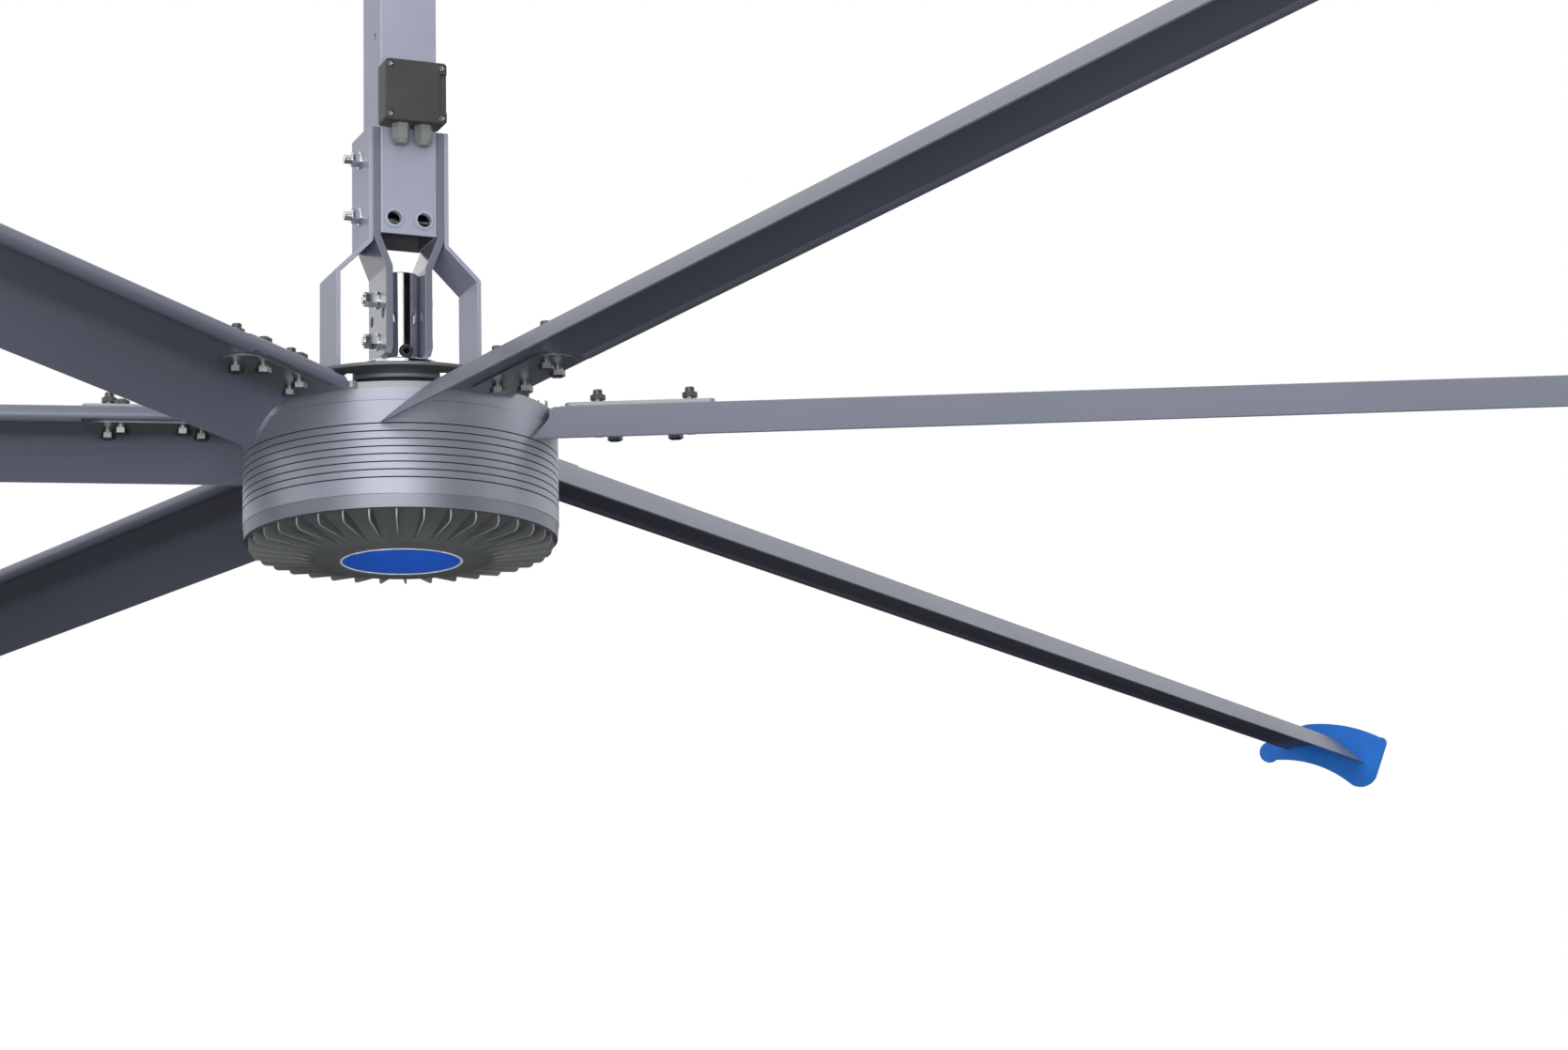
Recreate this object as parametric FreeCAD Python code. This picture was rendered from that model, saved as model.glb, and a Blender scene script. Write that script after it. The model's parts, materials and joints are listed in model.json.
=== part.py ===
import FreeCAD
import Part
import math
import os
from collections import namedtuple

os.makedirs("parts", exist_ok=True)
V = FreeCAD.Vector
UP = V(0, 0, 1)
ALONG_X = V(1, 0, 0)
ALONG_Y = V(0, 1, 0)

# Hex fasteners
Fastener = namedtuple("Fastener", "radius flats head nut washer_radius washer")
M12 = Fastener(6.0, 18.0, 7.5, 10.8, 12.0, 2.5)
M8 = Fastener(4.0, 13.0, 5.3, 6.8, 8.0, 1.6)
JAM_NUT = 6.0
THREAD_END = 2.0
TUBE_STUD_PROUD = 10.0
THIN_NUT = 7.2
BLADE_STUD_PROUD = 7.0
HUB_HEAD = 9.0
HUB_WASHERS = 4.8
HUB_WASHER_RADIUS = 6.8

# Clearances, and how far a cutter passes the face that it opens
FIT_GAP = 0.15
HOLE_GAP = 0.4
RUNNING_GAP = 0.3
THROUGH = 1.0

# Motor shell; heights are counted from its uppermost groove
SHELL_RADIUS = 210.0
SHELL_WALL = 16.0
SHELL_ROOF = 12.0
GROOVE_COUNT = 8
GROOVE_BAND = 71.4
GROOVE_WIDTH = 1.8
GROOVE_DEPTH = 2.6
UPPER_BAND = 30.5
CREASE_STEP = 3.0
CREASE_SLOPE = 1.5
SHOULDER_RISE = 17.5
SKIRT_HEIGHT = 22.1
LIP_HEIGHT = 17.2
LIP_LINE = 0.6
LIP_TAPER = 2.0
BOSS_WALL = 15.0

# Motor shaft and what is fixed to it
SHAFT_RADIUS = 25.0
SHAFT_BORE = 9.0
SHAFT_EDGE = 1.5
SHAFT_STEP = 5.0
SHAFT_CORE_STEP = 7.0
SHAFT_FLANGE_STEP = 15.0
SHAFT_FLANGE_THICK = 10.0
SHAFT_STUB = 8.0
SHAFT_PLUG = 12.0
SHAFT_RISE = 127.0
FLAT_DEPTH = 2.5
FLAT_START = 5.0
CIRCLIP_THICK = 2.0
CIRCLIP_GROOVE = 1.5
CIRCLIP_PROUD = 3.5
CIRCLIP_OPENING = 8.0
BUSH_RISE = 17.0
BUSH_LIP_RADIUS = 9.5
BUSH_LIP_THICK = 5.0
BUSH_LIP_EDGE = 1.5
BUSH_NECK_RADIUS = 7.0
BUSH_BORE_RADIUS = 4.5
BUSH_NECK_LENGTH = 11.5
COLLAR_WALL = 34.0
COLLAR_HEIGHT = 36.0
COLLAR_EDGE = 2.0
DISC_RADIUS = 172.0
DISC_RIM_THICK = 5.0
DISC_EDGE = 0.8
DISC_STEP_WIDTH = 32.0
DISC_STEP_DEPTH = 10.0
DISC_HUB_MARGIN = 18.0
DISC_HUB_DEPTH = 19.0
DISC_CLEARANCE = 6.0

# Ball bearings, both alike
BEARING_DEPTH = 20.0
BEARING_WIDTH = 20.0
BEARING_LIP_DEPTH = 5.0
BEARING_SINK = 8.0
LOWER_BEARING_RISE = 0.7
BALL_RADIUS = 6.35
BALL_COUNT = 9
BALL_LAND = 3.5
CAGE_THICK = 2.4
CAGE_WIDTH = 8.0
SEAL_HEIGHT = 8.0
SEAL_LIP = 5.0
SEAL_FOOT = 1.4

# Stator, coils and magnets
STACK_ROOF_GAP = 41.0
AIR_GAP = 1.0
MAGNET_COUNT = 28
MAGNET_THICK = 8.0
MAGNET_SPACE_ANGLE = 1.86
TOOTH_COUNT = 24
TOOTH_WIDTH = 16.0
TOOTH_LENGTH = 31.0
SHOE_DEPTH = 5.0
SLOT_ANGLE = 3.5
STATOR_YOKE = 18.0
STATOR_HUB = 16.0
STATOR_WEB = 14.0
COIL_GAP = 0.3
COIL_END_GAP = 1.5
COIL_SPACE = 6.4
COIL_EDGE = 8.0

# Ribbed bottom cover and plain round badge
COVER_INSET = 10.0
COVER_SEAT_RISE = 10.7
COVER_RIM_RISE = 2.7
COVER_FLANGE = 12.0
COVER_DROP = 27.1
COVER_FLAT_RADIUS = 113.0
COVER_SKIN = 6.5
COVER_CUP_DROP = 2.0
RIB_COUNT = 36
RIB_THICK = 2.4
RIB_PROUD = 3.0
RIB_DROP = 0.5
RIB_RISE = 10.8
RIB_CORNER = 10.0
RIB_ROOT = 2.0
RIB_SINK = 1.0
BADGE_RADIUS = 78.0
BADGE_DEPTH = 1.5
BEZEL_WIDTH = 3.5
BEZEL_PROUD = 0.7
BEZEL_EDGE = 0.5

# Square drop tube and ceiling plate
TUBE_SIDE = 80.0
TUBE_WALL = 4.0
TUBE_CORNER = 3.0
TUBE_LENGTH = 650.0
TUBE_GAP = 48.0
SAFETY_HOLE_RADIUS = 4.5
SAFETY_HOLE_Y = -15.0
SAFETY_HOLE_RISE = 284.0
PLATE_SIDE = 240.0
PLATE_THICK = 12.0
PLATE_CORNER = 10.0
PLATE_BOLT_PITCH = 180.0
PLATE_BOLT_RADIUS = 9.0
PLATE_CABLE_RADIUS = 28.0
GUSSET_THICK = 8.0
GUSSET_REACH = 62.0
GUSSET_DROP = 90.0
GUSSET_TOE = 8.0

# Cable grommets in the front wall of the tube
GROMMET_X = 21.0
GROMMET_RISE = 21.6
GROMMET_LIP_RADIUS = 13.5
GROMMET_LIP_THICK = 2.4
GROMMET_LIP_EDGE = 1.0
GROMMET_NECK_RADIUS = 11.5
GROMMET_BORE_RADIUS = 9.8

# Yoke plates between the tube, the shaft and the support disc
YOKE_WIDTH = 80.0
YOKE_RISE = 148.0
OUTER_THICK = 6.0
INNER_THICK = 10.0
BEND_RADIUS = 2.0
OUTER_BEND_DROP = 13.0
OUTER_SPLAY_DROP = 45.0
FOOT_GAP = 3.0
FOOT_LENGTH = 33.4
FOOT_BOLT_INSET = 16.0
FOOT_BOLT_Y = 25.0
FOOT_BOLT_FLOOR = 4.0
INNER_BEND_DROP = 2.0
INNER_SPLAY_DROP = 43.0
INNER_END_GAP = 10.0
INNER_CORNER_CUT = 8.0
TUBE_BOLT_RISES = (31.0, 111.0)
CLAMP_BOLT_RISES = (33.0, 91.0)
SPARE_HOLE_RADIUS = 7.0
SPARE_HOLE_Y = 25.7
SPARE_HOLE_RISE = 67.0

# Cable glands and the junction box that they hang from
GLAND_X = 16.0
GLAND_FLATS = 22.0
GLAND_THREAD = 8.0
GLAND_FLANGE = 5.0
GLAND_STUB = 8.0
GLAND_CAP = 23.0
GLAND_CAP_STEP = 1.0
GLAND_DOME = 6.0
GLAND_DOME_ROUND = 2.0
GLAND_BORE = 5.0
GLAND_LOCKNUT = 5.0
BOX_SIDE = 86.0
BOX_SPACE = 6.0
BOX_WALL = 3.0
BOX_CORNER = 5.0
BOX_RISE = 0.6
BOX_CABLE_RADIUS = 10.0
GASKET_THICK = 1.5
LID_THICK = 6.5
LID_EDGE = 1.2
LID_NOTCH_WIDTH = 11.0
LID_NOTCH_INSET = 16.0
LID_NOTCH_DEPTH = 4.0
POST_RADIUS = 5.4
SCREW_INSET_X = 6.5
SCREW_INSET_Z = 7.7
SCREW_RADIUS = 2.0
SCREW_LENGTH = 12.0
SCREW_HOLE_SPARE = 4.0
SCREW_HEAD_RADIUS = 4.0
SCREW_HEAD = 2.8
SCREW_SINK_RADIUS = 5.2
SCREW_SINK_DEPTH = 2.6
SCREW_CROSS_HALF = 3.0
SCREW_CROSS_WIDTH = 1.0
SCREW_CROSS_DEPTH = 1.2
TERMINAL_WAYS = 6
TERMINAL_PITCH = 8.0
TERMINAL_RISE = 12.0
TERMINAL_HEIGHT = 18.0
TERMINAL_DEPTH = 14.0
TERMINAL_HOLE_RADIUS = 2.2
TERMINAL_HOLE_DEPTH = 5.0
TERMINAL_HOLE_INSET = 5.0

# Six-armed spider bolted to the shell
BLADE_COUNT = 6
REST_ANGLE = -19.0
SPIDER_THICK = 9.0
SPIDER_MARGIN = 1.0
SPIDER_INSIDE = 110.0
PAD_PROUD = 3.0
PAD_HALF = 57.0
PAD_DEPTH = 29.0
PAD_CORNER = 6.0
HUB_BOLT_INSET = 17.0
HUB_BOLT_ANGLE = 11.8
HUB_BOLT_FLOOR = 2.0
STRUT_LOW_U = -33.0
STRUT_HIGH_U = 36.0
STRUT_LENGTH = 202.0
STRUT_CORNER = 12.0

# Blades: sections have u toward the leading edge and v up from the strut's underside
RISE_ANGLE = 1.335
RISE_INSET = 10.0
BLADE_LENGTH = 3430.0
BLADE_SKIN = 2.5
STRUT_SIDE_GAP = 3.0
NOSE_OUT = 1.0
NOSE_V = 5.1
NOSE_RADIUS = 11.3
HUMP_OUT = 14.2
HUMP_SINK = 20.2
HUMP_RADIUS = 20.6
HUMP_SLOPE = 38.0
FLOOR_OUT = 4.0
ROOT_GAP = 6.0
ROOT_PAD_GAP = 3.5
ROOT_CUT_REACH = 110.0

# Points of the thin rear half of a blade, each counted from the middle of its hump
TAIL_TOP = (-76.1, -40.1)
TAIL_TOP_BOW = (-45.26, -10.98)
TAIL_LOW = (-74.8, -41.5)
TAIL_LOW_BOW = (-44.6, -18.5)
KNEE = (-11.8, 0.7)
KNEE_BOW = (-1.1, 4.7)
POCKET_END = (-35.8, -7.7)
POCKET_FLOOR = 3.0

# Plates and bolts that clamp a blade to its strut
UPPER_PLATE_START = 10.0
UPPER_PLATE_LENGTH = 201.0
UPPER_PLATE_LOW_OUT = 4.0
UPPER_PLATE_THIN = 4.0
UPPER_PLATE_CORNER = 8.0
LOWER_PLATE_START = 24.0
LOWER_PLATE_LENGTH = 184.0
LOWER_PLATE_OUT = 1.0
LOWER_PLATE_REAR_INSET = 13.0
LOWER_PLATE_THICK = 3.0
LOWER_PLATE_ROUND = 30.0
PLATE_FLAT_SPARE = 2.0
REAR_BOLT_INSET = 31.0
REAR_BOLT_STARTS = (55.0, 179.0)
FRONT_BOLT_INSET = 10.0
FRONT_BOLT_STARTS = (77.0, 159.0)
BOLT_SPACER_RADIUS = 7.5
UPPER_BOLT_SPACER = 11.0
LOWER_BOLT_SPACER = 5.0

# Tip caps: outline points in the same u and v as the blade sections
CAP_THICK = 6.0
CAP_PLUG = 28.0
CAP_PLUG_GAP = 0.4
CAP_CHIN = (70.0, -25.2)
CAP_BELLY = (-15.5, -43.7)
CAP_HEEL = (-95.0, -94.0)
CAP_HEEL_BOW = (-121.0, -100.0)
CAP_REAR_LOW = (-148.0, -84.0)
CAP_REAR_HIGH = (-176.0, -15.0)
CAP_REAR_BOW = (-174.0, -4.5)
CAP_REAR_TOP = (-164.0, 0.0)
CAP_BACK = (-84.0, 33.0)
CAP_CREST = (-5.0, 43.5)
CAP_BROW = (46.0, 32.0)
CAP_FRONT = (88.0, 14.0)
CAP_FRONT_BOW = (105.0, -4.0)

# Levels and radii of the motor that follow from the sizes above
SHELL_CREASE = UPPER_BAND
SHELL_TOP = SHELL_CREASE + SHOULDER_RISE
SHELL_CEILING = SHELL_TOP - SHELL_ROOF
SHELL_LIP = -GROOVE_BAND - SKIRT_HEIGHT
SHELL_BOTTOM = SHELL_LIP - LIP_HEIGHT
SHELL_INSIDE = SHELL_RADIUS - SHELL_WALL
SHELL_SHOULDER = SHELL_RADIUS - CREASE_STEP
BEARING_OUTSIDE = SHAFT_RADIUS + BEARING_DEPTH
BEARING_LIP = BEARING_OUTSIDE - BEARING_LIP_DEPTH
BOSS_RADIUS = BEARING_OUTSIDE + BOSS_WALL
UPPER_BEARING = SHELL_TOP - BEARING_SINK
UPPER_BEARING_TOP = UPPER_BEARING + BEARING_WIDTH
LOWER_BEARING = SHELL_BOTTOM + LOWER_BEARING_RISE
LOWER_BEARING_TOP = LOWER_BEARING + BEARING_WIDTH
BOSS_TOP = UPPER_BEARING_TOP + SEAL_HEIGHT
SPACER_RADIUS = SHAFT_RADIUS + SHAFT_STEP
SHAFT_CORE = SHAFT_RADIUS + SHAFT_CORE_STEP
FLANGE_RADIUS = SHAFT_RADIUS + SHAFT_FLANGE_STEP
STACK_LOW = LOWER_BEARING_TOP + SHAFT_STEP + SHAFT_FLANGE_THICK
STACK_HIGH = SHELL_CEILING - STACK_ROOF_GAP
MAGNET_INSIDE = SHELL_INSIDE - MAGNET_THICK
STATOR_RADIUS = MAGNET_INSIDE - AIR_GAP
STATOR_YOKE_OUT = STATOR_RADIUS - TOOTH_LENGTH
STATOR_YOKE_IN = STATOR_YOKE_OUT - STATOR_YOKE
COVER_RADIUS = SHELL_RADIUS - COVER_INSET
COVER_SEAT = SHELL_BOTTOM + COVER_SEAT_RISE
COVER_RIM = SHELL_BOTTOM + COVER_RIM_RISE
COVER_FLAT = SHELL_BOTTOM - COVER_DROP
COVER_FLOOR = COVER_FLAT + COVER_SKIN
BEZEL_RADIUS = BADGE_RADIUS + BEZEL_WIDTH

# Levels and places of the fixed upper works
DISC_LOW = BOSS_TOP + DISC_CLEARANCE
DISC_TOP = DISC_LOW + DISC_HUB_DEPTH
COLLAR_TOP = DISC_TOP + COLLAR_HEIGHT
COLLAR_RADIUS = SHAFT_RADIUS + COLLAR_WALL
SHAFT_TOP = COLLAR_TOP + SHAFT_RISE
SHAFT_FLAT = SHAFT_RADIUS - FLAT_DEPTH
BUSH_HEIGHT = COLLAR_TOP + BUSH_RISE
BUSH_SEAT = -SHAFT_FLAT
FOOT_INSIDE = COLLAR_RADIUS + FOOT_GAP
LEG_INSIDE = FOOT_INSIDE + FOOT_LENGTH
FOOT_BOLT_X = FOOT_INSIDE + FOOT_BOLT_INSET
FOOT_TOP = DISC_TOP + OUTER_THICK
DISC_HUB_RADIUS = FOOT_BOLT_X + DISC_HUB_MARGIN
TUBE_END = SHAFT_TOP + TUBE_GAP
TUBE_TOP = TUBE_END + TUBE_LENGTH
TUBE_FACE = TUBE_SIDE / 2
TUBE_INSIDE = TUBE_FACE - TUBE_WALL
CEILING = TUBE_TOP + PLATE_THICK
YOKE_TOP = TUBE_END + YOKE_RISE
OUTER_FACE = TUBE_FACE + INNER_THICK
YOKE_SIDE = OUTER_FACE + OUTER_THICK
CLAMP_SIDE = SHAFT_FLAT + INNER_THICK
TUBE_BOLTS = [TUBE_END + rise for rise in TUBE_BOLT_RISES]
CLAMP_BOLTS = [COLLAR_TOP + rise for rise in CLAMP_BOLT_RISES]
BOX_DEPTH = GLAND_FLATS + BOX_SPACE
BOX_LOW = YOKE_TOP + BOX_RISE
BOX_HALF = BOX_SIDE / 2
BOX_MID = BOX_LOW + BOX_HALF
BOX_INNER = BOX_HALF - BOX_WALL
BOX_BACK = -TUBE_FACE
BOX_FLOOR = BOX_BACK - BOX_WALL
BOX_MOUTH = BOX_BACK - BOX_DEPTH
LID_BACK = BOX_MOUTH - GASKET_THICK
LID_FRONT = LID_BACK - LID_THICK
SCREW_SEAT = LID_FRONT + SCREW_SINK_DEPTH
GLAND_Y = (BOX_MOUTH + BOX_FLOOR) / 2

# Levels and places of the spider and blades
SPIDER_TOP = SHELL_TOP + SPIDER_THICK
SPIDER_RADIUS = SHELL_SHOULDER - SPIDER_MARGIN
PAD_RADIUS = SPIDER_RADIUS + PAD_PROUD
HUB_BOLT_RADIUS = SHELL_RADIUS - HUB_BOLT_INSET
RISE_START = SHELL_RADIUS - RISE_INSET
STRUT_END = SHELL_RADIUS + STRUT_LENGTH
BLADE_END = SHELL_RADIUS + BLADE_LENGTH
BOX_LOW_U = STRUT_LOW_U - STRUT_SIDE_GAP
BOX_HIGH_U = STRUT_HIGH_U + STRUT_SIDE_GAP
NOSE_U = BOX_HIGH_U + NOSE_OUT
HUMP_U = BOX_LOW_U - HUMP_OUT
HUMP_V = SPIDER_THICK + BLADE_SKIN - HUMP_SINK
REAR_BOLT_U = STRUT_LOW_U + REAR_BOLT_INSET
FRONT_BOLT_U = STRUT_HIGH_U - FRONT_BOLT_INSET
REAR_BOLTS = [(SHELL_RADIUS + start, REAR_BOLT_U) for start in REAR_BOLT_STARTS]
FRONT_BOLTS = [(SHELL_RADIUS + start, FRONT_BOLT_U) for start in FRONT_BOLT_STARTS]
LOWER_PLATE_END = SHELL_RADIUS + LOWER_PLATE_START + LOWER_PLATE_LENGTH
BOLT_HEAD_SEAT = SHELL_TOP - BLADE_SKIN - LOWER_PLATE_THICK - LOWER_BOLT_SPACER


def export(node, solids):
    """Write one node, moved so that the ceiling plate's top face is at height zero."""
    pieces = solids if isinstance(solids, list) else [solids]
    body = pieces[0].copy() if len(pieces) == 1 else Part.makeCompound(pieces)
    body.translate(V(0, 0, -CEILING))
    if not body.isValid():
        raise ValueError(node + " is not a valid solid")
    body.exportStep("parts/" + node + ".step")


def box(x0, x1, y0, y1, z0, z1):
    return Part.makeBox(x1 - x0, y1 - y0, z1 - z0, V(x0, y0, z0))


def cyl(radius, z0, z1, x=0.0, y=0.0):
    return Part.makeCylinder(radius, z1 - z0, V(x, y, z0), UP)


def cyl_x(radius, x0, x1, y, z):
    return Part.makeCylinder(radius, x1 - x0, V(x0, y, z), ALONG_X)


def cyl_y(radius, y0, y1, x, z):
    return Part.makeCylinder(radius, y1 - y0, V(x, y0, z), ALONG_Y)


def ring(outside, inside, z0, z1):
    return cyl(outside, z0, z1).cut(cyl(inside, z0 - THROUGH, z1 + THROUGH))


def sector(outside, inside, z0, z1, degrees):
    """Part of a ring, centred on the X axis."""
    pie = Part.makeCylinder(outside, z1 - z0, V(0, 0, z0), UP, degrees)
    pie = pie.cut(cyl(inside, z0 - THROUGH, z1 + THROUGH))
    return turned(pie, -degrees / 2)


def prism(points, direction):
    """Flat outline of points, pushed along a direction."""
    return Part.Face(Part.makePolygon(points + [points[0]])).extrude(direction)


def hexagon(flats, z0, z1, x=0.0, y=0.0):
    reach = flats / math.sqrt(3)
    corners = []
    for step in range(6):
        angle = math.radians(60 * step)
        corners.append(V(x + reach * math.cos(angle), y + reach * math.sin(angle), z0))
    return prism(corners, V(0, 0, z1 - z0))


def hexagon_x(flats, x0, x1, y, z):
    bar = hexagon(flats, x0, x1)
    bar.rotate(V(0, 0, 0), ALONG_Y, 90)
    bar.translate(V(0, y, z))
    return bar


def lathe(profile):
    """Turn a closed (radius, height) outline about the Z axis."""
    points = [V(r, 0, z) for r, z in profile]
    face = Part.Face(Part.makePolygon(points + [points[0]]))
    return face.revolve(V(0, 0, 0), UP, 360)


def lathe_y(profile, x, z):
    """Turn a closed (radius, y) outline about an axis along Y."""
    points = [V(r, y, 0) for r, y in profile]
    face = Part.Face(Part.makePolygon(points + [points[0]]))
    body = face.revolve(V(0, 0, 0), ALONG_Y, 360)
    body.translate(V(x, 0, z))
    return body


def turned(shape, degrees):
    spun = shape.copy()
    spun.rotate(V(0, 0, 0), UP, degrees)
    return spun


def around(shape, count, start=0.0):
    return [turned(shape, start + step * 360.0 / count) for step in range(count)]


def mirrored(shape):
    return shape.mirror(V(0, 0, 0), ALONG_X)


def long_edges(shape, direction):
    found = []
    for edge in shape.Edges:
        ends = [vertex.Point for vertex in edge.Vertexes]
        if len(ends) == 2:
            run = ends[1] - ends[0]
            if run.Length > THROUGH and abs(run.dot(direction)) > 0.999 * run.Length:
                found.append(edge)
    return found


def is_bend_edge(edge, x, z):
    ends = [vertex.Point for vertex in edge.Vertexes]
    return all(abs(point.x - x) < 0.01 and abs(point.z - z) < 0.01 for point in ends)


def bent_strip(path, thick):
    """Strip of sheet on the left of a path in the XZ plane, as wide as the yoke, with round bends."""
    normals = []
    for (x0, z0), (x1, z1) in zip(path, path[1:]):
        length = math.hypot(x1 - x0, z1 - z0)
        normals.append((-(z1 - z0) / length, (x1 - x0) / length))
    far = []
    for index, (x, z) in enumerate(path):
        before = normals[max(index - 1, 0)]
        after = normals[min(index, len(normals) - 1)]
        share = thick / (1 + before[0] * after[0] + before[1] * after[1])
        far.append((x + (before[0] + after[0]) * share, z + (before[1] + after[1]) * share))
    outline = [V(x, -YOKE_WIDTH / 2, z) for x, z in path + far[::-1]]
    strip = prism(outline, V(0, YOKE_WIDTH, 0))
    for index in range(1, len(path) - 1):
        before, after = normals[index - 1], normals[index]
        bends_left = before[0] * after[1] > before[1] * after[0]
        inner, outer = (far, path) if bends_left else (path, far)
        for (x, z), radius in ((inner[index], BEND_RADIUS), (outer[index], BEND_RADIUS + thick)):
            edges = [edge for edge in strip.Edges if is_bend_edge(edge, x, z)]
            strip = strip.makeFillet(radius, edges)
    return strip


def ceiling_plate():
    half = PLATE_SIDE / 2
    plate = box(-half, half, -half, half, TUBE_TOP, CEILING)
    plate = plate.makeFillet(PLATE_CORNER, long_edges(plate, UP))
    side = -GUSSET_THICK / 2
    profile = [
        V(TUBE_FACE, side, TUBE_TOP),
        V(TUBE_FACE + GUSSET_REACH, side, TUBE_TOP),
        V(TUBE_FACE + GUSSET_REACH, side, TUBE_TOP - GUSSET_TOE),
        V(TUBE_FACE + GUSSET_TOE, side, TUBE_TOP - GUSSET_DROP),
        V(TUBE_FACE, side, TUBE_TOP - GUSSET_DROP),
    ]
    plate = plate.multiFuse(around(prism(profile, V(0, GUSSET_THICK, 0)), 4))
    low, high = TUBE_TOP - THROUGH, CEILING + THROUGH
    pitch = PLATE_BOLT_PITCH / 2
    for x in (-pitch, pitch):
        for y in (-pitch, pitch):
            plate = plate.cut(cyl(PLATE_BOLT_RADIUS, low, high, x, y))
    return plate.cut(cyl(PLATE_CABLE_RADIUS, low, high)).removeSplitter()


def drop_tube():
    tube = box(-TUBE_FACE, TUBE_FACE, -TUBE_FACE, TUBE_FACE, TUBE_END, TUBE_TOP)
    tube = tube.makeFillet(TUBE_CORNER, long_edges(tube, UP))
    low, high = TUBE_END - THROUGH, TUBE_TOP + THROUGH
    tube = tube.cut(box(-TUBE_INSIDE, TUBE_INSIDE, -TUBE_INSIDE, TUBE_INSIDE, low, high))
    reach = TUBE_FACE + THROUGH
    for height in TUBE_BOLTS:
        tube = tube.cut(cyl_x(M12.radius + HOLE_GAP, -reach, reach, 0, height))
    tube = tube.cut(cyl_x(SAFETY_HOLE_RADIUS, -reach, reach, SAFETY_HOLE_Y, TUBE_END + SAFETY_HOLE_RISE))
    for x in (-GROMMET_X, GROMMET_X):
        tube = tube.cut(cyl_y(GROMMET_NECK_RADIUS + FIT_GAP, -reach, 0, x, TUBE_END + GROMMET_RISE))
    return tube.cut(cyl_y(BOX_CABLE_RADIUS + HOLE_GAP, -reach, 0, 0, BOX_MID))


def grommet(x):
    front = -TUBE_FACE - GROMMET_LIP_THICK
    profile = (
        (GROMMET_BORE_RADIUS, front),
        (GROMMET_LIP_RADIUS - GROMMET_LIP_EDGE, front),
        (GROMMET_LIP_RADIUS, front + GROMMET_LIP_EDGE),
        (GROMMET_LIP_RADIUS, -TUBE_FACE),
        (GROMMET_NECK_RADIUS, -TUBE_FACE),
        (GROMMET_NECK_RADIUS, -TUBE_INSIDE),
        (GROMMET_LIP_RADIUS, -TUBE_INSIDE),
        (GROMMET_LIP_RADIUS, -TUBE_INSIDE + GROMMET_LIP_THICK),
        (GROMMET_BORE_RADIUS, -TUBE_INSIDE + GROMMET_LIP_THICK),
    )
    return lathe_y(profile, x, TUBE_END + GROMMET_RISE)


def screw_places():
    half_x, half_z = BOX_HALF - SCREW_INSET_X, BOX_HALF - SCREW_INSET_Z
    return [(x, BOX_MID + z) for x in (-half_x, half_x) for z in (-half_z, half_z)]


def box_block(front, back):
    block = box(-BOX_HALF, BOX_HALF, front, back, BOX_MID - BOX_HALF, BOX_MID + BOX_HALF)
    return block.makeFillet(BOX_CORNER, long_edges(block, ALONG_Y))


def box_hollow(front, back):
    return box(-BOX_INNER, BOX_INNER, front, back, BOX_MID - BOX_INNER, BOX_MID + BOX_INNER)


def box_base():
    outside = box_block(BOX_MOUTH, BOX_BACK)
    base = outside.cut(box_hollow(BOX_MOUTH - THROUGH, BOX_FLOOR))
    posts = [cyl_y(POST_RADIUS, BOX_MOUTH, BOX_FLOOR + THROUGH, x, z) for x, z in screw_places()]
    base = base.multiFuse(posts).common(outside)
    depth = BOX_MOUTH + SCREW_LENGTH + SCREW_HOLE_SPARE
    for x, z in screw_places():
        base = base.cut(cyl_y(SCREW_RADIUS, BOX_MOUTH - THROUGH, depth, x, z))
    for x in (-GLAND_X, GLAND_X):
        base = base.cut(cyl(GLAND_THREAD + FIT_GAP, BOX_LOW - THROUGH, BOX_MID, x, GLAND_Y))
    base = base.cut(cyl_y(BOX_CABLE_RADIUS, BOX_FLOOR - THROUGH, BOX_BACK + THROUGH, 0, BOX_MID))
    return base.removeSplitter()


def box_gasket():
    front, back = LID_BACK - THROUGH, BOX_MOUTH + THROUGH
    inner = box_hollow(front, back)
    for x, z in screw_places():
        inner = inner.cut(cyl_y(POST_RADIUS, front, back, x, z))
    gasket = box_block(LID_BACK, BOX_MOUTH).cut(inner)
    for x, z in screw_places():
        gasket = gasket.cut(cyl_y(SCREW_RADIUS + HOLE_GAP, front, back, x, z))
    return gasket


def box_lid():
    lid = box_block(LID_FRONT, LID_BACK)
    rim = [edge for edge in lid.Edges if edge.BoundBox.YMax < LID_FRONT + FIT_GAP]
    lid = lid.makeChamfer(LID_EDGE, rim)
    front = LID_FRONT - THROUGH
    half = BOX_HALF - LID_NOTCH_INSET
    left, right = BOX_HALF - LID_NOTCH_WIDTH, BOX_HALF + THROUGH
    lid = lid.cut(box(left, right, front, LID_FRONT + LID_NOTCH_DEPTH, BOX_MID - half, BOX_MID + half))
    for x, z in screw_places():
        lid = lid.cut(cyl_y(SCREW_SINK_RADIUS, front, SCREW_SEAT, x, z))
        lid = lid.cut(cyl_y(SCREW_RADIUS + HOLE_GAP, front, LID_BACK + THROUGH, x, z))
    return lid


def box_screw(x, z):
    top = SCREW_SEAT - SCREW_HEAD
    screw = cyl_y(SCREW_HEAD_RADIUS, top, SCREW_SEAT, x, z)
    screw = screw.fuse(cyl_y(SCREW_RADIUS - FIT_GAP, SCREW_SEAT, BOX_MOUTH + SCREW_LENGTH, x, z))
    long, half = SCREW_CROSS_HALF, SCREW_CROSS_WIDTH / 2
    front, floor = top - THROUGH, top + SCREW_CROSS_DEPTH
    screw = screw.cut(box(x - long, x + long, front, floor, z - half, z + half))
    return screw.cut(box(x - half, x + half, front, floor, z - long, z + long)).removeSplitter()


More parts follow.
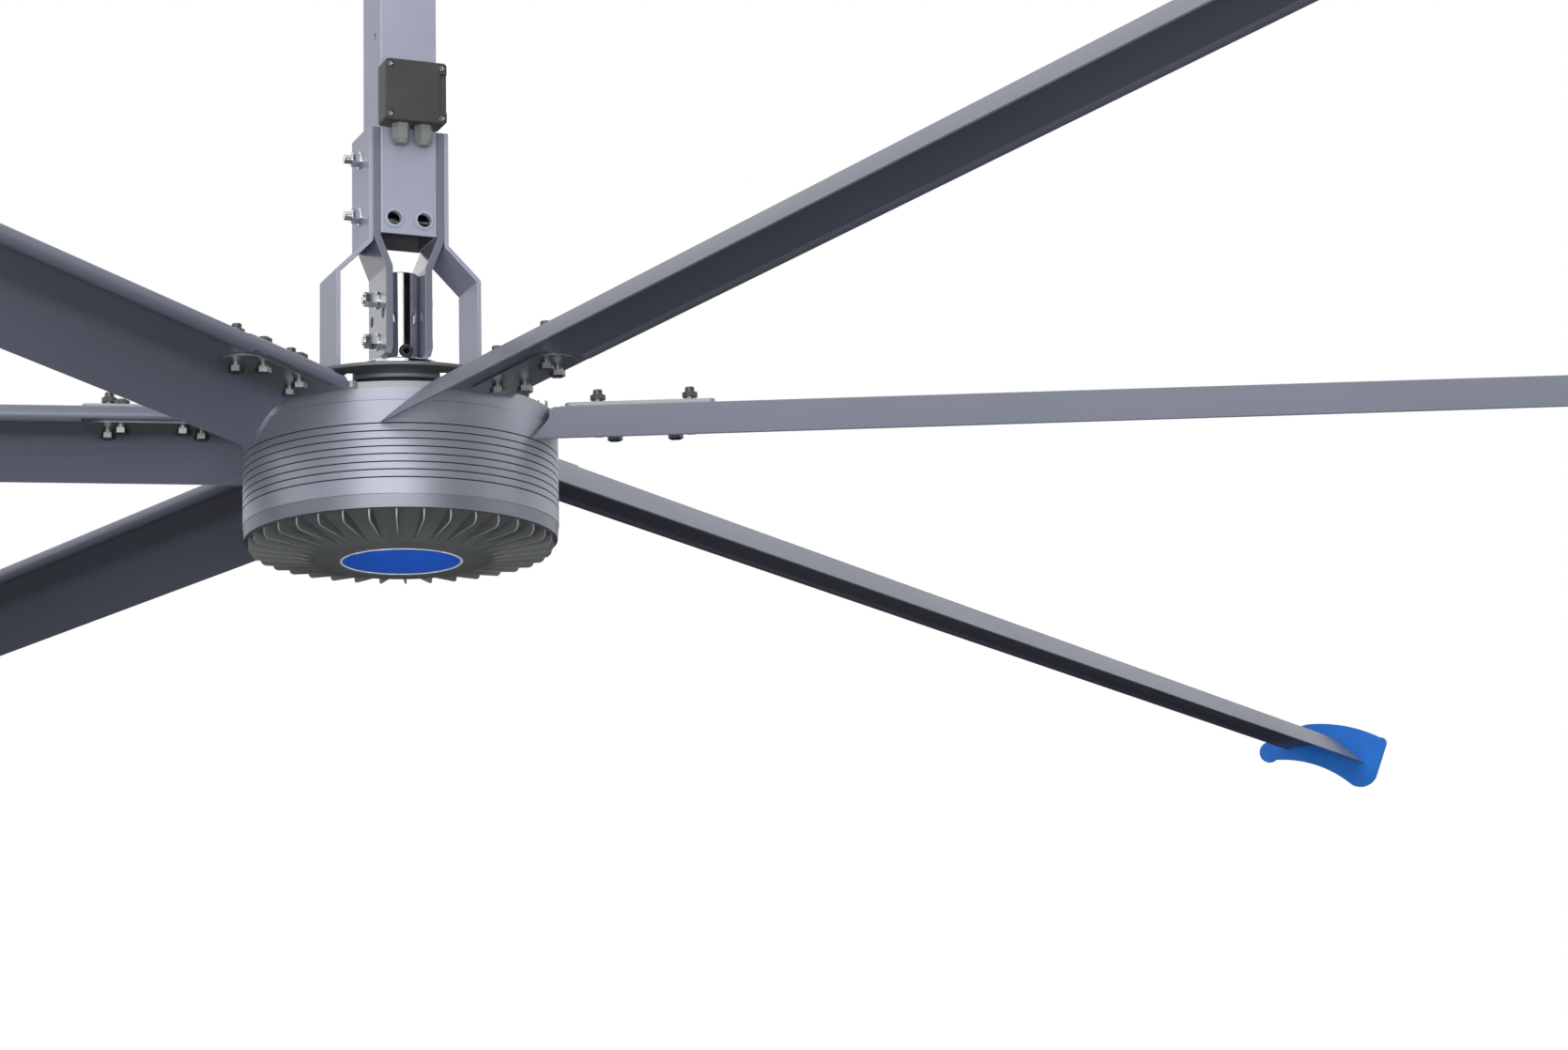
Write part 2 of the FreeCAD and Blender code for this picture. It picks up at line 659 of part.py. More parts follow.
def terminal_block():
    half = TERMINAL_WAYS * TERMINAL_PITCH / 2
    front = BOX_FLOOR - TERMINAL_DEPTH
    low, high = BOX_MID + TERMINAL_RISE, BOX_MID + TERMINAL_RISE + TERMINAL_HEIGHT
    block = box(-half, half, front, BOX_FLOOR, low, high)
    for way in range(TERMINAL_WAYS):
        x = -half + (way + 0.5) * TERMINAL_PITCH
        for z in (low + TERMINAL_HOLE_INSET, high - TERMINAL_HOLE_INSET):
            hole = cyl_y(TERMINAL_HOLE_RADIUS, front - THROUGH, front + TERMINAL_HOLE_DEPTH, x, z)
            block = block.cut(hole)
    return block


def gland_body(x):
    low = BOX_LOW - GLAND_FLANGE
    top = BOX_LOW + BOX_WALL + GLAND_LOCKNUT + THROUGH
    body = cyl(GLAND_THREAD, low - GLAND_STUB, top, x, GLAND_Y)
    body = body.fuse(hexagon(GLAND_FLATS, low, BOX_LOW, x, GLAND_Y))
    bore = cyl(GLAND_BORE, low - GLAND_STUB - THROUGH, top + THROUGH, x, GLAND_Y)
    return body.cut(bore).removeSplitter()


def gland_cap(x):
    top = BOX_LOW - GLAND_FLANGE
    low = top - GLAND_CAP
    flats = GLAND_FLATS - GLAND_CAP_STEP
    nut = hexagon(flats, low + GLAND_DOME, top, x, GLAND_Y)
    crown = flats / 2
    dome = Part.makeCone(crown - GLAND_DOME / 2, crown, GLAND_DOME, V(x, GLAND_Y, low), UP)
    foot = [edge for edge in dome.Edges if edge.BoundBox.ZMax < low + FIT_GAP]
    cap = nut.fuse(dome.makeFillet(GLAND_DOME_ROUND, foot))
    seat = top - GLAND_STUB - FIT_GAP
    cap = cap.cut(cyl(GLAND_THREAD + FIT_GAP, seat, top + THROUGH, x, GLAND_Y))
    return cap.cut(cyl(GLAND_BORE, low - THROUGH, top, x, GLAND_Y)).removeSplitter()


def gland_locknut(x):
    seat = BOX_LOW + BOX_WALL
    top = seat + GLAND_LOCKNUT
    nut = hexagon(GLAND_FLATS, seat, top, x, GLAND_Y)
    return nut.cut(cyl(GLAND_THREAD + FIT_GAP, seat - THROUGH, top + THROUGH, x, GLAND_Y))


def drilled_x(plate, radius, heights, y=0.0):
    for height in heights:
        plate = plate.cut(cyl_x(radius, 0, YOKE_SIDE + THROUGH, y, height))
    return plate


def outer_bracket():
    bend = TUBE_END - OUTER_BEND_DROP
    path = [
        (OUTER_FACE, YOKE_TOP),
        (OUTER_FACE, bend),
        (LEG_INSIDE, bend - OUTER_SPLAY_DROP),
        (LEG_INSIDE, FOOT_TOP),
        (FOOT_INSIDE, FOOT_TOP),
    ]
    bracket = drilled_x(bent_strip(path, OUTER_THICK), M12.radius + HOLE_GAP, TUBE_BOLTS)
    low, high = DISC_TOP - THROUGH, FOOT_TOP + THROUGH
    for y in (-FOOT_BOLT_Y, FOOT_BOLT_Y):
        bracket = bracket.cut(cyl(M8.radius + HOLE_GAP, low, high, FOOT_BOLT_X, y))
    return bracket


def inner_bracket():
    bend = TUBE_END - INNER_BEND_DROP
    low = COLLAR_TOP + INNER_END_GAP
    path = [
        (TUBE_FACE, YOKE_TOP),
        (TUBE_FACE, bend),
        (SHAFT_FLAT, bend - INNER_SPLAY_DROP),
        (SHAFT_FLAT, low),
    ]
    bracket = drilled_x(bent_strip(path, INNER_THICK), M12.radius + HOLE_GAP, TUBE_BOLTS + CLAMP_BOLTS)
    for y in (-SPARE_HOLE_Y, SPARE_HOLE_Y):
        bracket = drilled_x(bracket, SPARE_HOLE_RADIUS, [COLLAR_TOP + SPARE_HOLE_RISE], y)
    corners = [edge for edge in long_edges(bracket, ALONG_X) if edge.BoundBox.ZMax < low + FIT_GAP]
    return bracket.makeChamfer(INNER_CORNER_CUT, corners)


def cross_bolt(side, height, past_washer):
    """Hex bolt along X, head on the right, whose thread end stands out past the left washer."""
    seat = side + M12.washer
    shank = cyl_x(M12.radius, -seat - past_washer, seat, 0, height)
    return shank.fuse(hexagon_x(M12.flats, seat, seat + M12.head, 0, height)).removeSplitter()


def cross_nuts(side, height, nuts):
    """Washers of a cross bolt, and nuts of the given thicknesses at its thread end."""
    seat = side + M12.washer
    loose = [
        cyl_x(M12.washer_radius, side, seat, 0, height),
        cyl_x(M12.washer_radius, -seat, -side, 0, height),
    ]
    outside = -seat
    for nut in nuts:
        loose.append(hexagon_x(M12.flats, outside - nut, outside, 0, height))
        outside = outside - nut
    hole = cyl_x(M12.radius + FIT_GAP, outside - THROUGH, seat + THROUGH, 0, height)
    return [piece.cut(hole) for piece in loose]


def motor_shaft():
    groove = LOWER_BEARING - CIRCLIP_THICK - RUNNING_GAP
    bottom = LOWER_BEARING - SHAFT_STUB
    profile = (
        (SHAFT_BORE, bottom + SHAFT_PLUG),
        (0, bottom + SHAFT_PLUG),
        (0, bottom),
        (SHAFT_RADIUS - SHAFT_EDGE, bottom),
        (SHAFT_RADIUS, bottom + SHAFT_EDGE),
        (SHAFT_RADIUS, groove),
        (SHAFT_RADIUS - CIRCLIP_GROOVE, groove),
        (SHAFT_RADIUS - CIRCLIP_GROOVE, LOWER_BEARING),
        (SHAFT_RADIUS, LOWER_BEARING),
        (SHAFT_RADIUS, LOWER_BEARING_TOP),
        (SPACER_RADIUS, LOWER_BEARING_TOP),
        (SPACER_RADIUS, LOWER_BEARING_TOP + SHAFT_STEP),
        (FLANGE_RADIUS, LOWER_BEARING_TOP + SHAFT_STEP),
        (FLANGE_RADIUS, STACK_LOW),
        (SHAFT_CORE, STACK_LOW),
        (SHAFT_CORE, UPPER_BEARING - SHAFT_STEP),
        (SPACER_RADIUS, UPPER_BEARING - SHAFT_STEP),
        (SPACER_RADIUS, UPPER_BEARING),
        (SHAFT_RADIUS, UPPER_BEARING),
        (SHAFT_RADIUS, SHAFT_TOP - SHAFT_EDGE),
        (SHAFT_RADIUS - SHAFT_EDGE, SHAFT_TOP),
        (SHAFT_BORE, SHAFT_TOP),
    )
    shaft = lathe(profile)
    reach = SHAFT_RADIUS + THROUGH
    flat = box(SHAFT_FLAT, reach, -reach, reach, COLLAR_TOP + FLAT_START, SHAFT_TOP + THROUGH)
    shaft = shaft.cut(flat).cut(mirrored(flat))
    for height in CLAMP_BOLTS:
        shaft = shaft.cut(cyl_x(M12.radius + HOLE_GAP, -reach, reach, 0, height))
    shaft = shaft.cut(cyl_y(BUSH_NECK_RADIUS + FIT_GAP, -reach, 0, 0, BUSH_HEIGHT))
    return shaft.cut(cyl_y(BUSH_LIP_RADIUS + FIT_GAP, -reach, BUSH_SEAT, 0, BUSH_HEIGHT))


def cable_bush():
    front = BUSH_SEAT - BUSH_LIP_THICK
    profile = (
        (BUSH_BORE_RADIUS, front),
        (BUSH_LIP_RADIUS - BUSH_LIP_EDGE, front),
        (BUSH_LIP_RADIUS, front + BUSH_LIP_EDGE),
        (BUSH_LIP_RADIUS, BUSH_SEAT),
        (BUSH_NECK_RADIUS, BUSH_SEAT),
        (BUSH_NECK_RADIUS, BUSH_SEAT + BUSH_NECK_LENGTH),
        (BUSH_BORE_RADIUS, BUSH_SEAT + BUSH_NECK_LENGTH),
    )
    return lathe_y(profile, 0, BUSH_HEIGHT)


def foot_bolt_places():
    return [(x, y) for x in (-FOOT_BOLT_X, FOOT_BOLT_X) for y in (-FOOT_BOLT_Y, FOOT_BOLT_Y)]


def support_disc():
    bore = SHAFT_RADIUS + FIT_GAP
    middle = DISC_HUB_RADIUS + DISC_STEP_WIDTH
    profile = (
        (bore, DISC_TOP),
        (DISC_RADIUS - DISC_EDGE, DISC_TOP),
        (DISC_RADIUS, DISC_TOP - DISC_EDGE),
        (DISC_RADIUS, DISC_TOP - DISC_RIM_THICK),
        (middle, DISC_TOP - DISC_RIM_THICK),
        (middle, DISC_TOP - DISC_STEP_DEPTH),
        (DISC_HUB_RADIUS, DISC_TOP - DISC_STEP_DEPTH),
        (DISC_HUB_RADIUS, DISC_LOW),
        (bore, DISC_LOW),
    )
    disc = lathe(profile)
    for x, y in foot_bolt_places():
        hole = cyl(M8.radius + FIT_GAP, DISC_LOW + FOOT_BOLT_FLOOR - THROUGH, DISC_TOP + THROUGH, x, y)
        disc = disc.cut(hole)
    return disc


def foot_bolt(x, y):
    bolt = cyl(M8.radius, DISC_LOW + FOOT_BOLT_FLOOR, FOOT_TOP, x, y)
    return bolt.fuse(hexagon(M8.flats, FOOT_TOP, FOOT_TOP + M8.head, x, y)).removeSplitter()


def shaft_collar():
    bore = SHAFT_RADIUS + FIT_GAP
    profile = (
        (bore, DISC_TOP),
        (COLLAR_RADIUS, DISC_TOP),
        (COLLAR_RADIUS, COLLAR_TOP - COLLAR_EDGE),
        (COLLAR_RADIUS - COLLAR_EDGE, COLLAR_TOP),
        (bore, COLLAR_TOP),
    )
    return lathe(profile)


def shaft_spacer():
    return ring(SPACER_RADIUS, SHAFT_RADIUS + FIT_GAP, UPPER_BEARING_TOP, DISC_LOW)


def shaft_circlip():
    low = LOWER_BEARING - CIRCLIP_THICK
    outside = SHAFT_RADIUS + CIRCLIP_PROUD
    clip = ring(outside, SHAFT_RADIUS - CIRCLIP_GROOVE + FIT_GAP, low, LOWER_BEARING)
    half = CIRCLIP_OPENING / 2
    return clip.cut(box(0, outside + THROUGH, -half, half, low - THROUGH, LOWER_BEARING + THROUGH))


def bearing_parts(low):
    """Inner ring, balls with their cage, and outer ring of one bearing standing on a level."""
    pitch = SHAFT_RADIUS + BEARING_DEPTH / 2
    high = low + BEARING_WIDTH
    middle = (low + high) / 2
    race = Part.makeTorus(pitch, BALL_RADIUS + RUNNING_GAP, V(0, 0, middle), UP)
    inner = ring(pitch - BALL_LAND, SHAFT_RADIUS + FIT_GAP, low, high).cut(race)
    outer = ring(BEARING_OUTSIDE, pitch + BALL_LAND, low, high).cut(race)
    half = CAGE_THICK / 2
    cage = ring(pitch + half, pitch - half, middle - CAGE_WIDTH / 2, middle + CAGE_WIDTH / 2)
    ball = Part.makeSphere(BALL_RADIUS, V(pitch, 0, middle))
    return inner, cage.multiFuse(around(ball, BALL_COUNT)).removeSplitter(), outer


def stator_core():
    bore = SHAFT_CORE + FIT_GAP
    hub = bore + STATOR_HUB
    middle = (STACK_LOW + STACK_HIGH) / 2
    web_low, web_high = middle - STATOR_WEB / 2, middle + STATOR_WEB / 2
    profile = (
        (bore, STACK_LOW),
        (hub, STACK_LOW),
        (hub, web_low),
        (STATOR_YOKE_IN, web_low),
        (STATOR_YOKE_IN, STACK_LOW),
        (STATOR_YOKE_OUT, STACK_LOW),
        (STATOR_YOKE_OUT, STACK_HIGH),
        (STATOR_YOKE_IN, STACK_HIGH),
        (STATOR_YOKE_IN, web_high),
        (hub, web_high),
        (hub, STACK_HIGH),
        (bore, STACK_HIGH),
    )
    half = TOOTH_WIDTH / 2
    neck_end = STATOR_RADIUS - SHOE_DEPTH / 2
    neck = box(STATOR_YOKE_OUT - STATOR_YOKE / 2, neck_end, -half, half, STACK_LOW, STACK_HIGH)
    shoe_angle = 360.0 / TOOTH_COUNT - SLOT_ANGLE
    shoe = sector(STATOR_RADIUS, STATOR_RADIUS - SHOE_DEPTH, STACK_LOW, STACK_HIGH, shoe_angle)
    return lathe(profile).multiFuse(around(neck.fuse(shoe), TOOTH_COUNT)).removeSplitter()


def stator_coil():
    inner = STATOR_YOKE_OUT + COIL_END_GAP
    outer = STATOR_RADIUS - SHOE_DEPTH - COIL_END_GAP
    half = TOOTH_WIDTH / 2 + COIL_GAP
    wide = inner * math.tan(math.pi / TOOTH_COUNT) - COIL_SPACE / 2
    thick = wide - half
    low, high = STACK_LOW - COIL_GAP, STACK_HIGH + COIL_GAP
    block = box(inner, outer, -wide, wide, low - thick, high + thick)
    block = block.makeFillet(min(COIL_EDGE, 0.9 * thick), long_edges(block, ALONG_X))
    return block.cut(box(inner - THROUGH, outer + THROUGH, -half, half, low, high))


def rotor_magnet():
    angle = 360.0 / MAGNET_COUNT - MAGNET_SPACE_ANGLE
    return sector(SHELL_INSIDE - FIT_GAP / 2, MAGNET_INSIDE, STACK_LOW, STACK_HIGH, angle)


def rotor_shell():
    outside = [
        (SHELL_RADIUS - LIP_TAPER, SHELL_BOTTOM),
        (SHELL_RADIUS - LIP_LINE, SHELL_LIP),
        (SHELL_RADIUS, SHELL_LIP + LIP_LINE),
    ]
    for index in range(GROOVE_COUNT):
        level = -GROOVE_BAND * (1 - index / (GROOVE_COUNT - 1))
        outside.append((SHELL_RADIUS, level - GROOVE_WIDTH / 2))
        outside.append((SHELL_RADIUS - GROOVE_DEPTH, level))
        outside.append((SHELL_RADIUS, level + GROOVE_WIDTH / 2))
    outside.append((SHELL_RADIUS, SHELL_CREASE))
    outside.append((SHELL_SHOULDER, SHELL_CREASE + CREASE_SLOPE))
    outside.append((SHELL_SHOULDER, SHELL_TOP))
    inside = [
        (BOSS_RADIUS, SHELL_TOP),
        (BOSS_RADIUS, BOSS_TOP),
        (BEARING_LIP, BOSS_TOP),
        (BEARING_LIP, UPPER_BEARING_TOP),
        (BEARING_OUTSIDE + FIT_GAP, UPPER_BEARING_TOP),
        (BEARING_OUTSIDE + FIT_GAP, SHELL_CEILING),
        (SHELL_INSIDE, SHELL_CEILING),
        (SHELL_INSIDE, COVER_SEAT),
        (COVER_RADIUS, COVER_SEAT),
        (COVER_RADIUS, SHELL_BOTTOM),
    ]
    shell = lathe(outside + inside)
    for x, y in hub_bolt_places():
        shell = shell.cut(cyl(M8.radius + FIT_GAP, SHELL_CEILING + HUB_BOLT_FLOOR, SHELL_TOP + THROUGH, x, y))
    return shell


def hub_bolt_places():
    places = []
    for blade_number in range(BLADE_COUNT):
        for side in (-HUB_BOLT_ANGLE, HUB_BOLT_ANGLE):
            angle = math.radians(blade_number * 360.0 / BLADE_COUNT + side)
            places.append((HUB_BOLT_RADIUS * math.cos(angle), HUB_BOLT_RADIUS * math.sin(angle)))
    return places


def hub_bolt(x, y):
    seat = SPIDER_TOP + HUB_WASHERS
    bolt = cyl(M8.radius, SHELL_CEILING + HUB_BOLT_FLOOR + THROUGH, seat, x, y)
    bolt = bolt.fuse(cyl(HUB_WASHER_RADIUS, SPIDER_TOP, seat, x, y))
    return bolt.fuse(hexagon(M8.flats, seat, seat + HUB_HEAD, x, y)).removeSplitter()


def shaft_seal():
    bore = SPACER_RADIUS + RUNNING_GAP
    outside = BEARING_LIP - FIT_GAP
    profile = (
        (bore, BOSS_TOP - SEAL_LIP),
        (outside - SEAL_FOOT, UPPER_BEARING_TOP),
        (outside, UPPER_BEARING_TOP),
        (outside, BOSS_TOP),
        (bore, BOSS_TOP),
    )
    return lathe(profile)


def cover_rib():
    """One fin of the bottom cover, lying along X, with its foot sunk in the cover's skin."""
    half = RIB_THICK / 2
    low = COVER_FLAT + RIB_RISE
    out = COVER_RADIUS + RIB_PROUD
    start = SHELL_BOTTOM - RIB_DROP
    root, rim = COVER_FLAT_RADIUS + RIB_ROOT, COVER_RADIUS - RIB_ROOT
    slope = (COVER_RIM - COVER_FLAT) / (COVER_RADIUS - COVER_FLAT_RADIUS)
    sunk = COVER_FLAT + slope * RIB_ROOT + RIB_SINK
    bow = RIB_CORNER * (1 - math.sqrt(0.5))
    side = [V(out, -half, start), V(out, -half, low + RIB_CORNER)]
    bend = V(out - bow, -half, low + bow)
    foot = V(out - RIB_CORNER, -half, low)
    back = [
        foot,
        V(root, -half, sunk),
        V(rim, -half, sunk + slope * (rim - root)),
        V(rim, -half, start),
        side[0],
    ]
    edges = Part.makePolygon(side).Edges
    edges.append(Part.Arc(side[1], bend, foot).toShape())
    edges = edges + Part.makePolygon(back).Edges
    return Part.Face(Part.Wire(edges)).extrude(V(0, RIB_THICK, 0))


def bottom_cover():
    pocket = COVER_FLAT + BADGE_DEPTH
    cup = LOWER_BEARING_TOP - COVER_CUP_DROP
    outside = COVER_RADIUS - FIT_GAP
    profile = (
        (0, pocket),
        (BEZEL_RADIUS + FIT_GAP, pocket),
        (BEZEL_RADIUS + FIT_GAP, COVER_FLAT),
        (COVER_FLAT_RADIUS, COVER_FLAT),
        (outside, COVER_RIM),
        (outside, COVER_SEAT),
        (COVER_RADIUS - COVER_FLANGE, COVER_SEAT),
        (COVER_FLAT_RADIUS - COVER_SKIN, COVER_FLOOR),
        (BOSS_RADIUS, COVER_FLOOR),
        (BOSS_RADIUS, cup),
        (BEARING_OUTSIDE + FIT_GAP, cup),
        (BEARING_OUTSIDE + FIT_GAP, LOWER_BEARING),
        (BEARING_LIP, LOWER_BEARING),
        (BEARING_LIP, COVER_FLOOR),
        (0, COVER_FLOOR),
    )
    return lathe(profile).multiFuse(around(cover_rib(), RIB_COUNT)).removeSplitter()


def badge_disc():
    return cyl(BADGE_RADIUS, COVER_FLAT, COVER_FLAT + BADGE_DEPTH)


def badge_bezel():
    low = COVER_FLAT - BEZEL_PROUD
    inside = BADGE_RADIUS + FIT_GAP
    profile = (
        (inside, COVER_FLAT + BADGE_DEPTH),
        (inside, low + BEZEL_EDGE),
        (inside + BEZEL_EDGE, low),
        (BEZEL_RADIUS - BEZEL_EDGE, low),
        (BEZEL_RADIUS, low + BEZEL_EDGE),
        (BEZEL_RADIUS, COVER_FLAT + BADGE_DEPTH),
    )
    return lathe(profile)


def raised(shape):
    """Tip a shape built along X about the blade root, so that its outer end rises."""
    tipped = shape.copy()
    tipped.rotate(V(RISE_START, 0, SHELL_TOP), ALONG_Y, -RISE_ANGLE)
    return tipped


def section_point(u, v):
    return V(0, u, SHELL_TOP + v)


def from_hump(offset):
    return section_point(HUMP_U + offset[0], HUMP_V + offset[1])


def on_hump(radius, angle):
    return from_hump((-radius * math.sin(angle), radius * math.cos(angle)))


def back_angle():
    """Slope of the straight line that runs over the hump and the nose."""
    reach = math.hypot(NOSE_U - HUMP_U, NOSE_V - HUMP_V)
    lean = math.atan2(NOSE_V - HUMP_V, NOSE_U - HUMP_U)
    return lean + math.asin((NOSE_RADIUS - HUMP_RADIUS) / reach)


def back_height(u):
    """Height v of the straight back of the blade."""
    slope = back_angle()
    start_u = HUMP_U - HUMP_RADIUS * math.sin(slope)
    start_v = HUMP_V + HUMP_RADIUS * math.cos(slope)
    return start_v + (u - start_u) * math.tan(slope)


def blade_outline():
    slope = back_angle()
    tail_angle = math.radians(HUMP_SLOPE)
    crest = on_hump(HUMP_RADIUS, tail_angle)
    back = on_hump(HUMP_RADIUS, slope)
    nose_top = section_point(NOSE_U - NOSE_RADIUS * math.sin(slope), NOSE_V + NOSE_RADIUS * math.cos(slope))
    drop = NOSE_V + BLADE_SKIN
    chin = section_point(NOSE_U - math.sqrt(NOSE_RADIUS ** 2 - drop ** 2), -BLADE_SKIN)
    floor = section_point(BOX_LOW_U - FLOOR_OUT, -BLADE_SKIN)
    curves = (
        Part.Arc(from_hump(TAIL_TOP), from_hump(TAIL_TOP_BOW), crest),
        Part.Arc(crest, on_hump(HUMP_RADIUS, (tail_angle + slope) / 2), back),
        Part.LineSegment(back, nose_top),
        Part.Arc(nose_top, section_point(NOSE_U + NOSE_RADIUS, NOSE_V), chin),
        Part.LineSegment(chin, floor),
        Part.Arc(floor, from_hump(KNEE_BOW), from_hump(KNEE)),
        Part.Arc(from_hump(KNEE), from_hump(TAIL_LOW_BOW), from_hump(TAIL_LOW)),
        Part.LineSegment(from_hump(TAIL_LOW), from_hump(TAIL_TOP)),
    )
    return Part.Wire([curve.toShape() for curve in curves])


def section_wire(points):
    return Part.makePolygon(points + [points[0]])


def strut_chamber(gap):
    """Box-shaped hollow of the blade that the strut slides into, drawn smaller by a gap."""
    left, right = BOX_LOW_U + gap, BOX_HIGH_U - gap
    skin = BLADE_SKIN + gap
    return section_wire(
        [
            section_point(left, gap),
            section_point(right, gap),
            section_point(right, back_height(right) - skin),
            section_point(left, back_height(left) - skin),
        ]
    )


def rear_chamber():
    web = BOX_LOW_U - 2 * BLADE_SKIN
    inside = HUMP_RADIUS - BLADE_SKIN
    return section_wire(
        [
            section_point(web, 0),
            section_point(web, back_height(web) - BLADE_SKIN),
            on_hump(inside, back_angle()),
            on_hump(inside, math.radians(HUMP_SLOPE)),
            from_hump(POCKET_END),
            from_hump((KNEE[0], KNEE[1] + POCKET_FLOOR)),
            from_hump((KNEE_BOW[0], KNEE_BOW[1] + POCKET_FLOOR)),
        ]
    )


def along_blade(wire, start, end):
    bar = Part.Face(wire).extrude(V(end - start, 0, 0))
    bar.translate(V(start, 0, 0))
    return bar


def clamp_holes(shape):
    low, high = SHELL_TOP - ROOT_CUT_REACH, SHELL_TOP + ROOT_CUT_REACH
    for x, u in REAR_BOLTS + FRONT_BOLTS:
        shape = shape.cut(cyl(M12.radius + HOLE_GAP, low, high, x, u))
    return shape


def plate_flat():
    """What is milled off under the nose at the root, to seat the lower plate."""
    seat = SHELL_TOP - BLADE_SKIN
    return box(0, LOWER_PLATE_END + PLATE_FLAT_SPARE, 0, NOSE_U + NOSE_RADIUS, seat - NOSE_RADIUS, seat)


def root_clearance():
    """Room that a blade root leaves round the shell and round the spider's pads."""
    low, high = SHELL_TOP - ROOT_CUT_REACH, SHELL_TOP + ROOT_CUT_REACH
    shell_side, pad_side = SHELL_RADIUS + ROOT_GAP, PAD_RADIUS + ROOT_PAD_GAP
    seat = SHELL_TOP - BLADE_SKIN
    shell_room = lathe(
        (
            (0, low),
            (shell_side, low),
            (shell_side, SHELL_CREASE + ROOT_PAD_GAP),
            (pad_side, seat),
            (pad_side, high),
            (0, high),
        )
    )
    half = PAD_HALF + ROOT_PAD_GAP
    return shell_room.fuse(box(0, pad_side, -half, half, seat, high))


def blade():
    start = SHELL_RADIUS / 2
    body = along_blade(blade_outline(), start, BLADE_END)
    for wire in (strut_chamber(0.0), rear_chamber()):
        body = body.cut(along_blade(wire, start - THROUGH, BLADE_END + THROUGH))
    return raised(clamp_holes(body.cut(plate_flat()))).cut(root_clearance())


def cap_outline():
    curves = (
        Part.Arc(section_point(*CAP_CHIN), section_point(*CAP_BELLY), section_point(*CAP_HEEL)),
        Part.Arc(section_point(*CAP_HEEL), section_point(*CAP_HEEL_BOW), section_point(*CAP_REAR_LOW)),
        Part.LineSegment(section_point(*CAP_REAR_LOW), section_point(*CAP_REAR_HIGH)),
        Part.Arc(section_point(*CAP_REAR_HIGH), section_point(*CAP_REAR_BOW), section_point(*CAP_REAR_TOP)),
        Part.Arc(section_point(*CAP_REAR_TOP), section_point(*CAP_BACK), section_point(*CAP_CREST)),
        Part.Arc(section_point(*CAP_CREST), section_point(*CAP_BROW), section_point(*CAP_FRONT)),
        Part.Arc(section_point(*CAP_FRONT), section_point(*CAP_FRONT_BOW), section_point(*CAP_CHIN)),
    )
    return Part.Wire([curve.toShape() for curve in curves])


def tip_cap():
    plate = along_blade(cap_outline(), BLADE_END, BLADE_END + CAP_THICK)
    plug = along_blade(strut_chamber(CAP_PLUG_GAP), BLADE_END - CAP_PLUG, BLADE_END + CAP_THICK / 2)
    return raised(plate.fuse(plug).removeSplitter())


def outer_corners(shape, x):
    return [edge for edge in long_edges(shape, UP) if edge.BoundBox.XMin > x - THROUGH]


def hub_spider():
    spider = ring(SPIDER_RADIUS, SPIDER_INSIDE, SHELL_TOP, SPIDER_TOP)
    pad = box(PAD_RADIUS - PAD_DEPTH, PAD_RADIUS, -PAD_HALF, PAD_HALF, SHELL_TOP, SPIDER_TOP)
    pad = pad.makeFillet(PAD_CORNER, outer_corners(pad, PAD_RADIUS))
    strut = box(RISE_START, STRUT_END, STRUT_LOW_U, STRUT_HIGH_U, SHELL_TOP, SPIDER_TOP)
    strut = strut.makeFillet(STRUT_CORNER, outer_corners(strut, STRUT_END))
    arm = pad.fuse(raised(clamp_holes(strut)))
    spider = spider.multiFuse(around(arm, BLADE_COUNT)).removeSplitter()
    for x, y in hub_bolt_places():
        spider = spider.cut(cyl(M8.radius + HOLE_GAP, SHELL_TOP - THROUGH, SPIDER_TOP + THROUGH, x, y))
    return spider


def upper_plate_top():
    return back_height(BOX_HIGH_U) + UPPER_PLATE_THIN


def upper_plate():
    """Wedge that gives the nuts a level seat on the sloping back of the blade."""
    low_u = BOX_LOW_U - UPPER_PLATE_LOW_OUT
    wedge = section_wire(
        [
            section_point(low_u, back_height(low_u)),
            section_point(BOX_HIGH_U, back_height(BOX_HIGH_U)),
            section_point(BOX_HIGH_U, upper_plate_top()),
            section_point(low_u, upper_plate_top()),
        ]
    )
    start = SHELL_RADIUS + UPPER_PLATE_START
    plate = along_blade(wedge, start, start + UPPER_PLATE_LENGTH)
    plate = plate.makeFillet(UPPER_PLATE_CORNER, long_edges(plate, UP))
    return raised(clamp_holes(plate))


def lower_plate():
    top = SHELL_TOP - BLADE_SKIN
    start = SHELL_RADIUS + LOWER_PLATE_START
    low_u, high_u = BOX_LOW_U + LOWER_PLATE_REAR_INSET, BOX_HIGH_U + LOWER_PLATE_OUT
    plate = box(start, LOWER_PLATE_END, low_u, high_u, top - LOWER_PLATE_THICK, top)
    plate = plate.makeFillet(LOWER_PLATE_ROUND, outer_corners(plate, LOWER_PLATE_END))
    return raised(clamp_holes(plate))


def blade_bolt(x, u, lift, proud):
    """Bolt up through a blade root; lift is the height of the spacer under its nut."""
    end = SHELL_TOP + upper_plate_top() + lift + THIN_NUT + proud
    bolt = cyl(M12.radius, BOLT_HEAD_SEAT, end, x, u)
    head = hexagon(M12.flats, BOLT_HEAD_SEAT - M12.head, BOLT_HEAD_SEAT, x, u)
    return raised(bolt.fuse(head).removeSplitter())


def blade_nut(x, u, lift):
    low = SHELL_TOP + upper_plate_top() + lift
    nut = hexagon(M12.flats, low, low + THIN_NUT, x, u)
    return raised(nut.cut(cyl(M12.radius + FIT_GAP, low - THROUGH, low + THIN_NUT + THROUGH, x, u)))


def blade_spacer(x, u, low, height):
    spacer = ring(BOLT_SPACER_RADIUS, M12.radius + FIT_GAP, low, low + height)
    spacer.translate(V(x, u, 0))
    return raised(spacer)


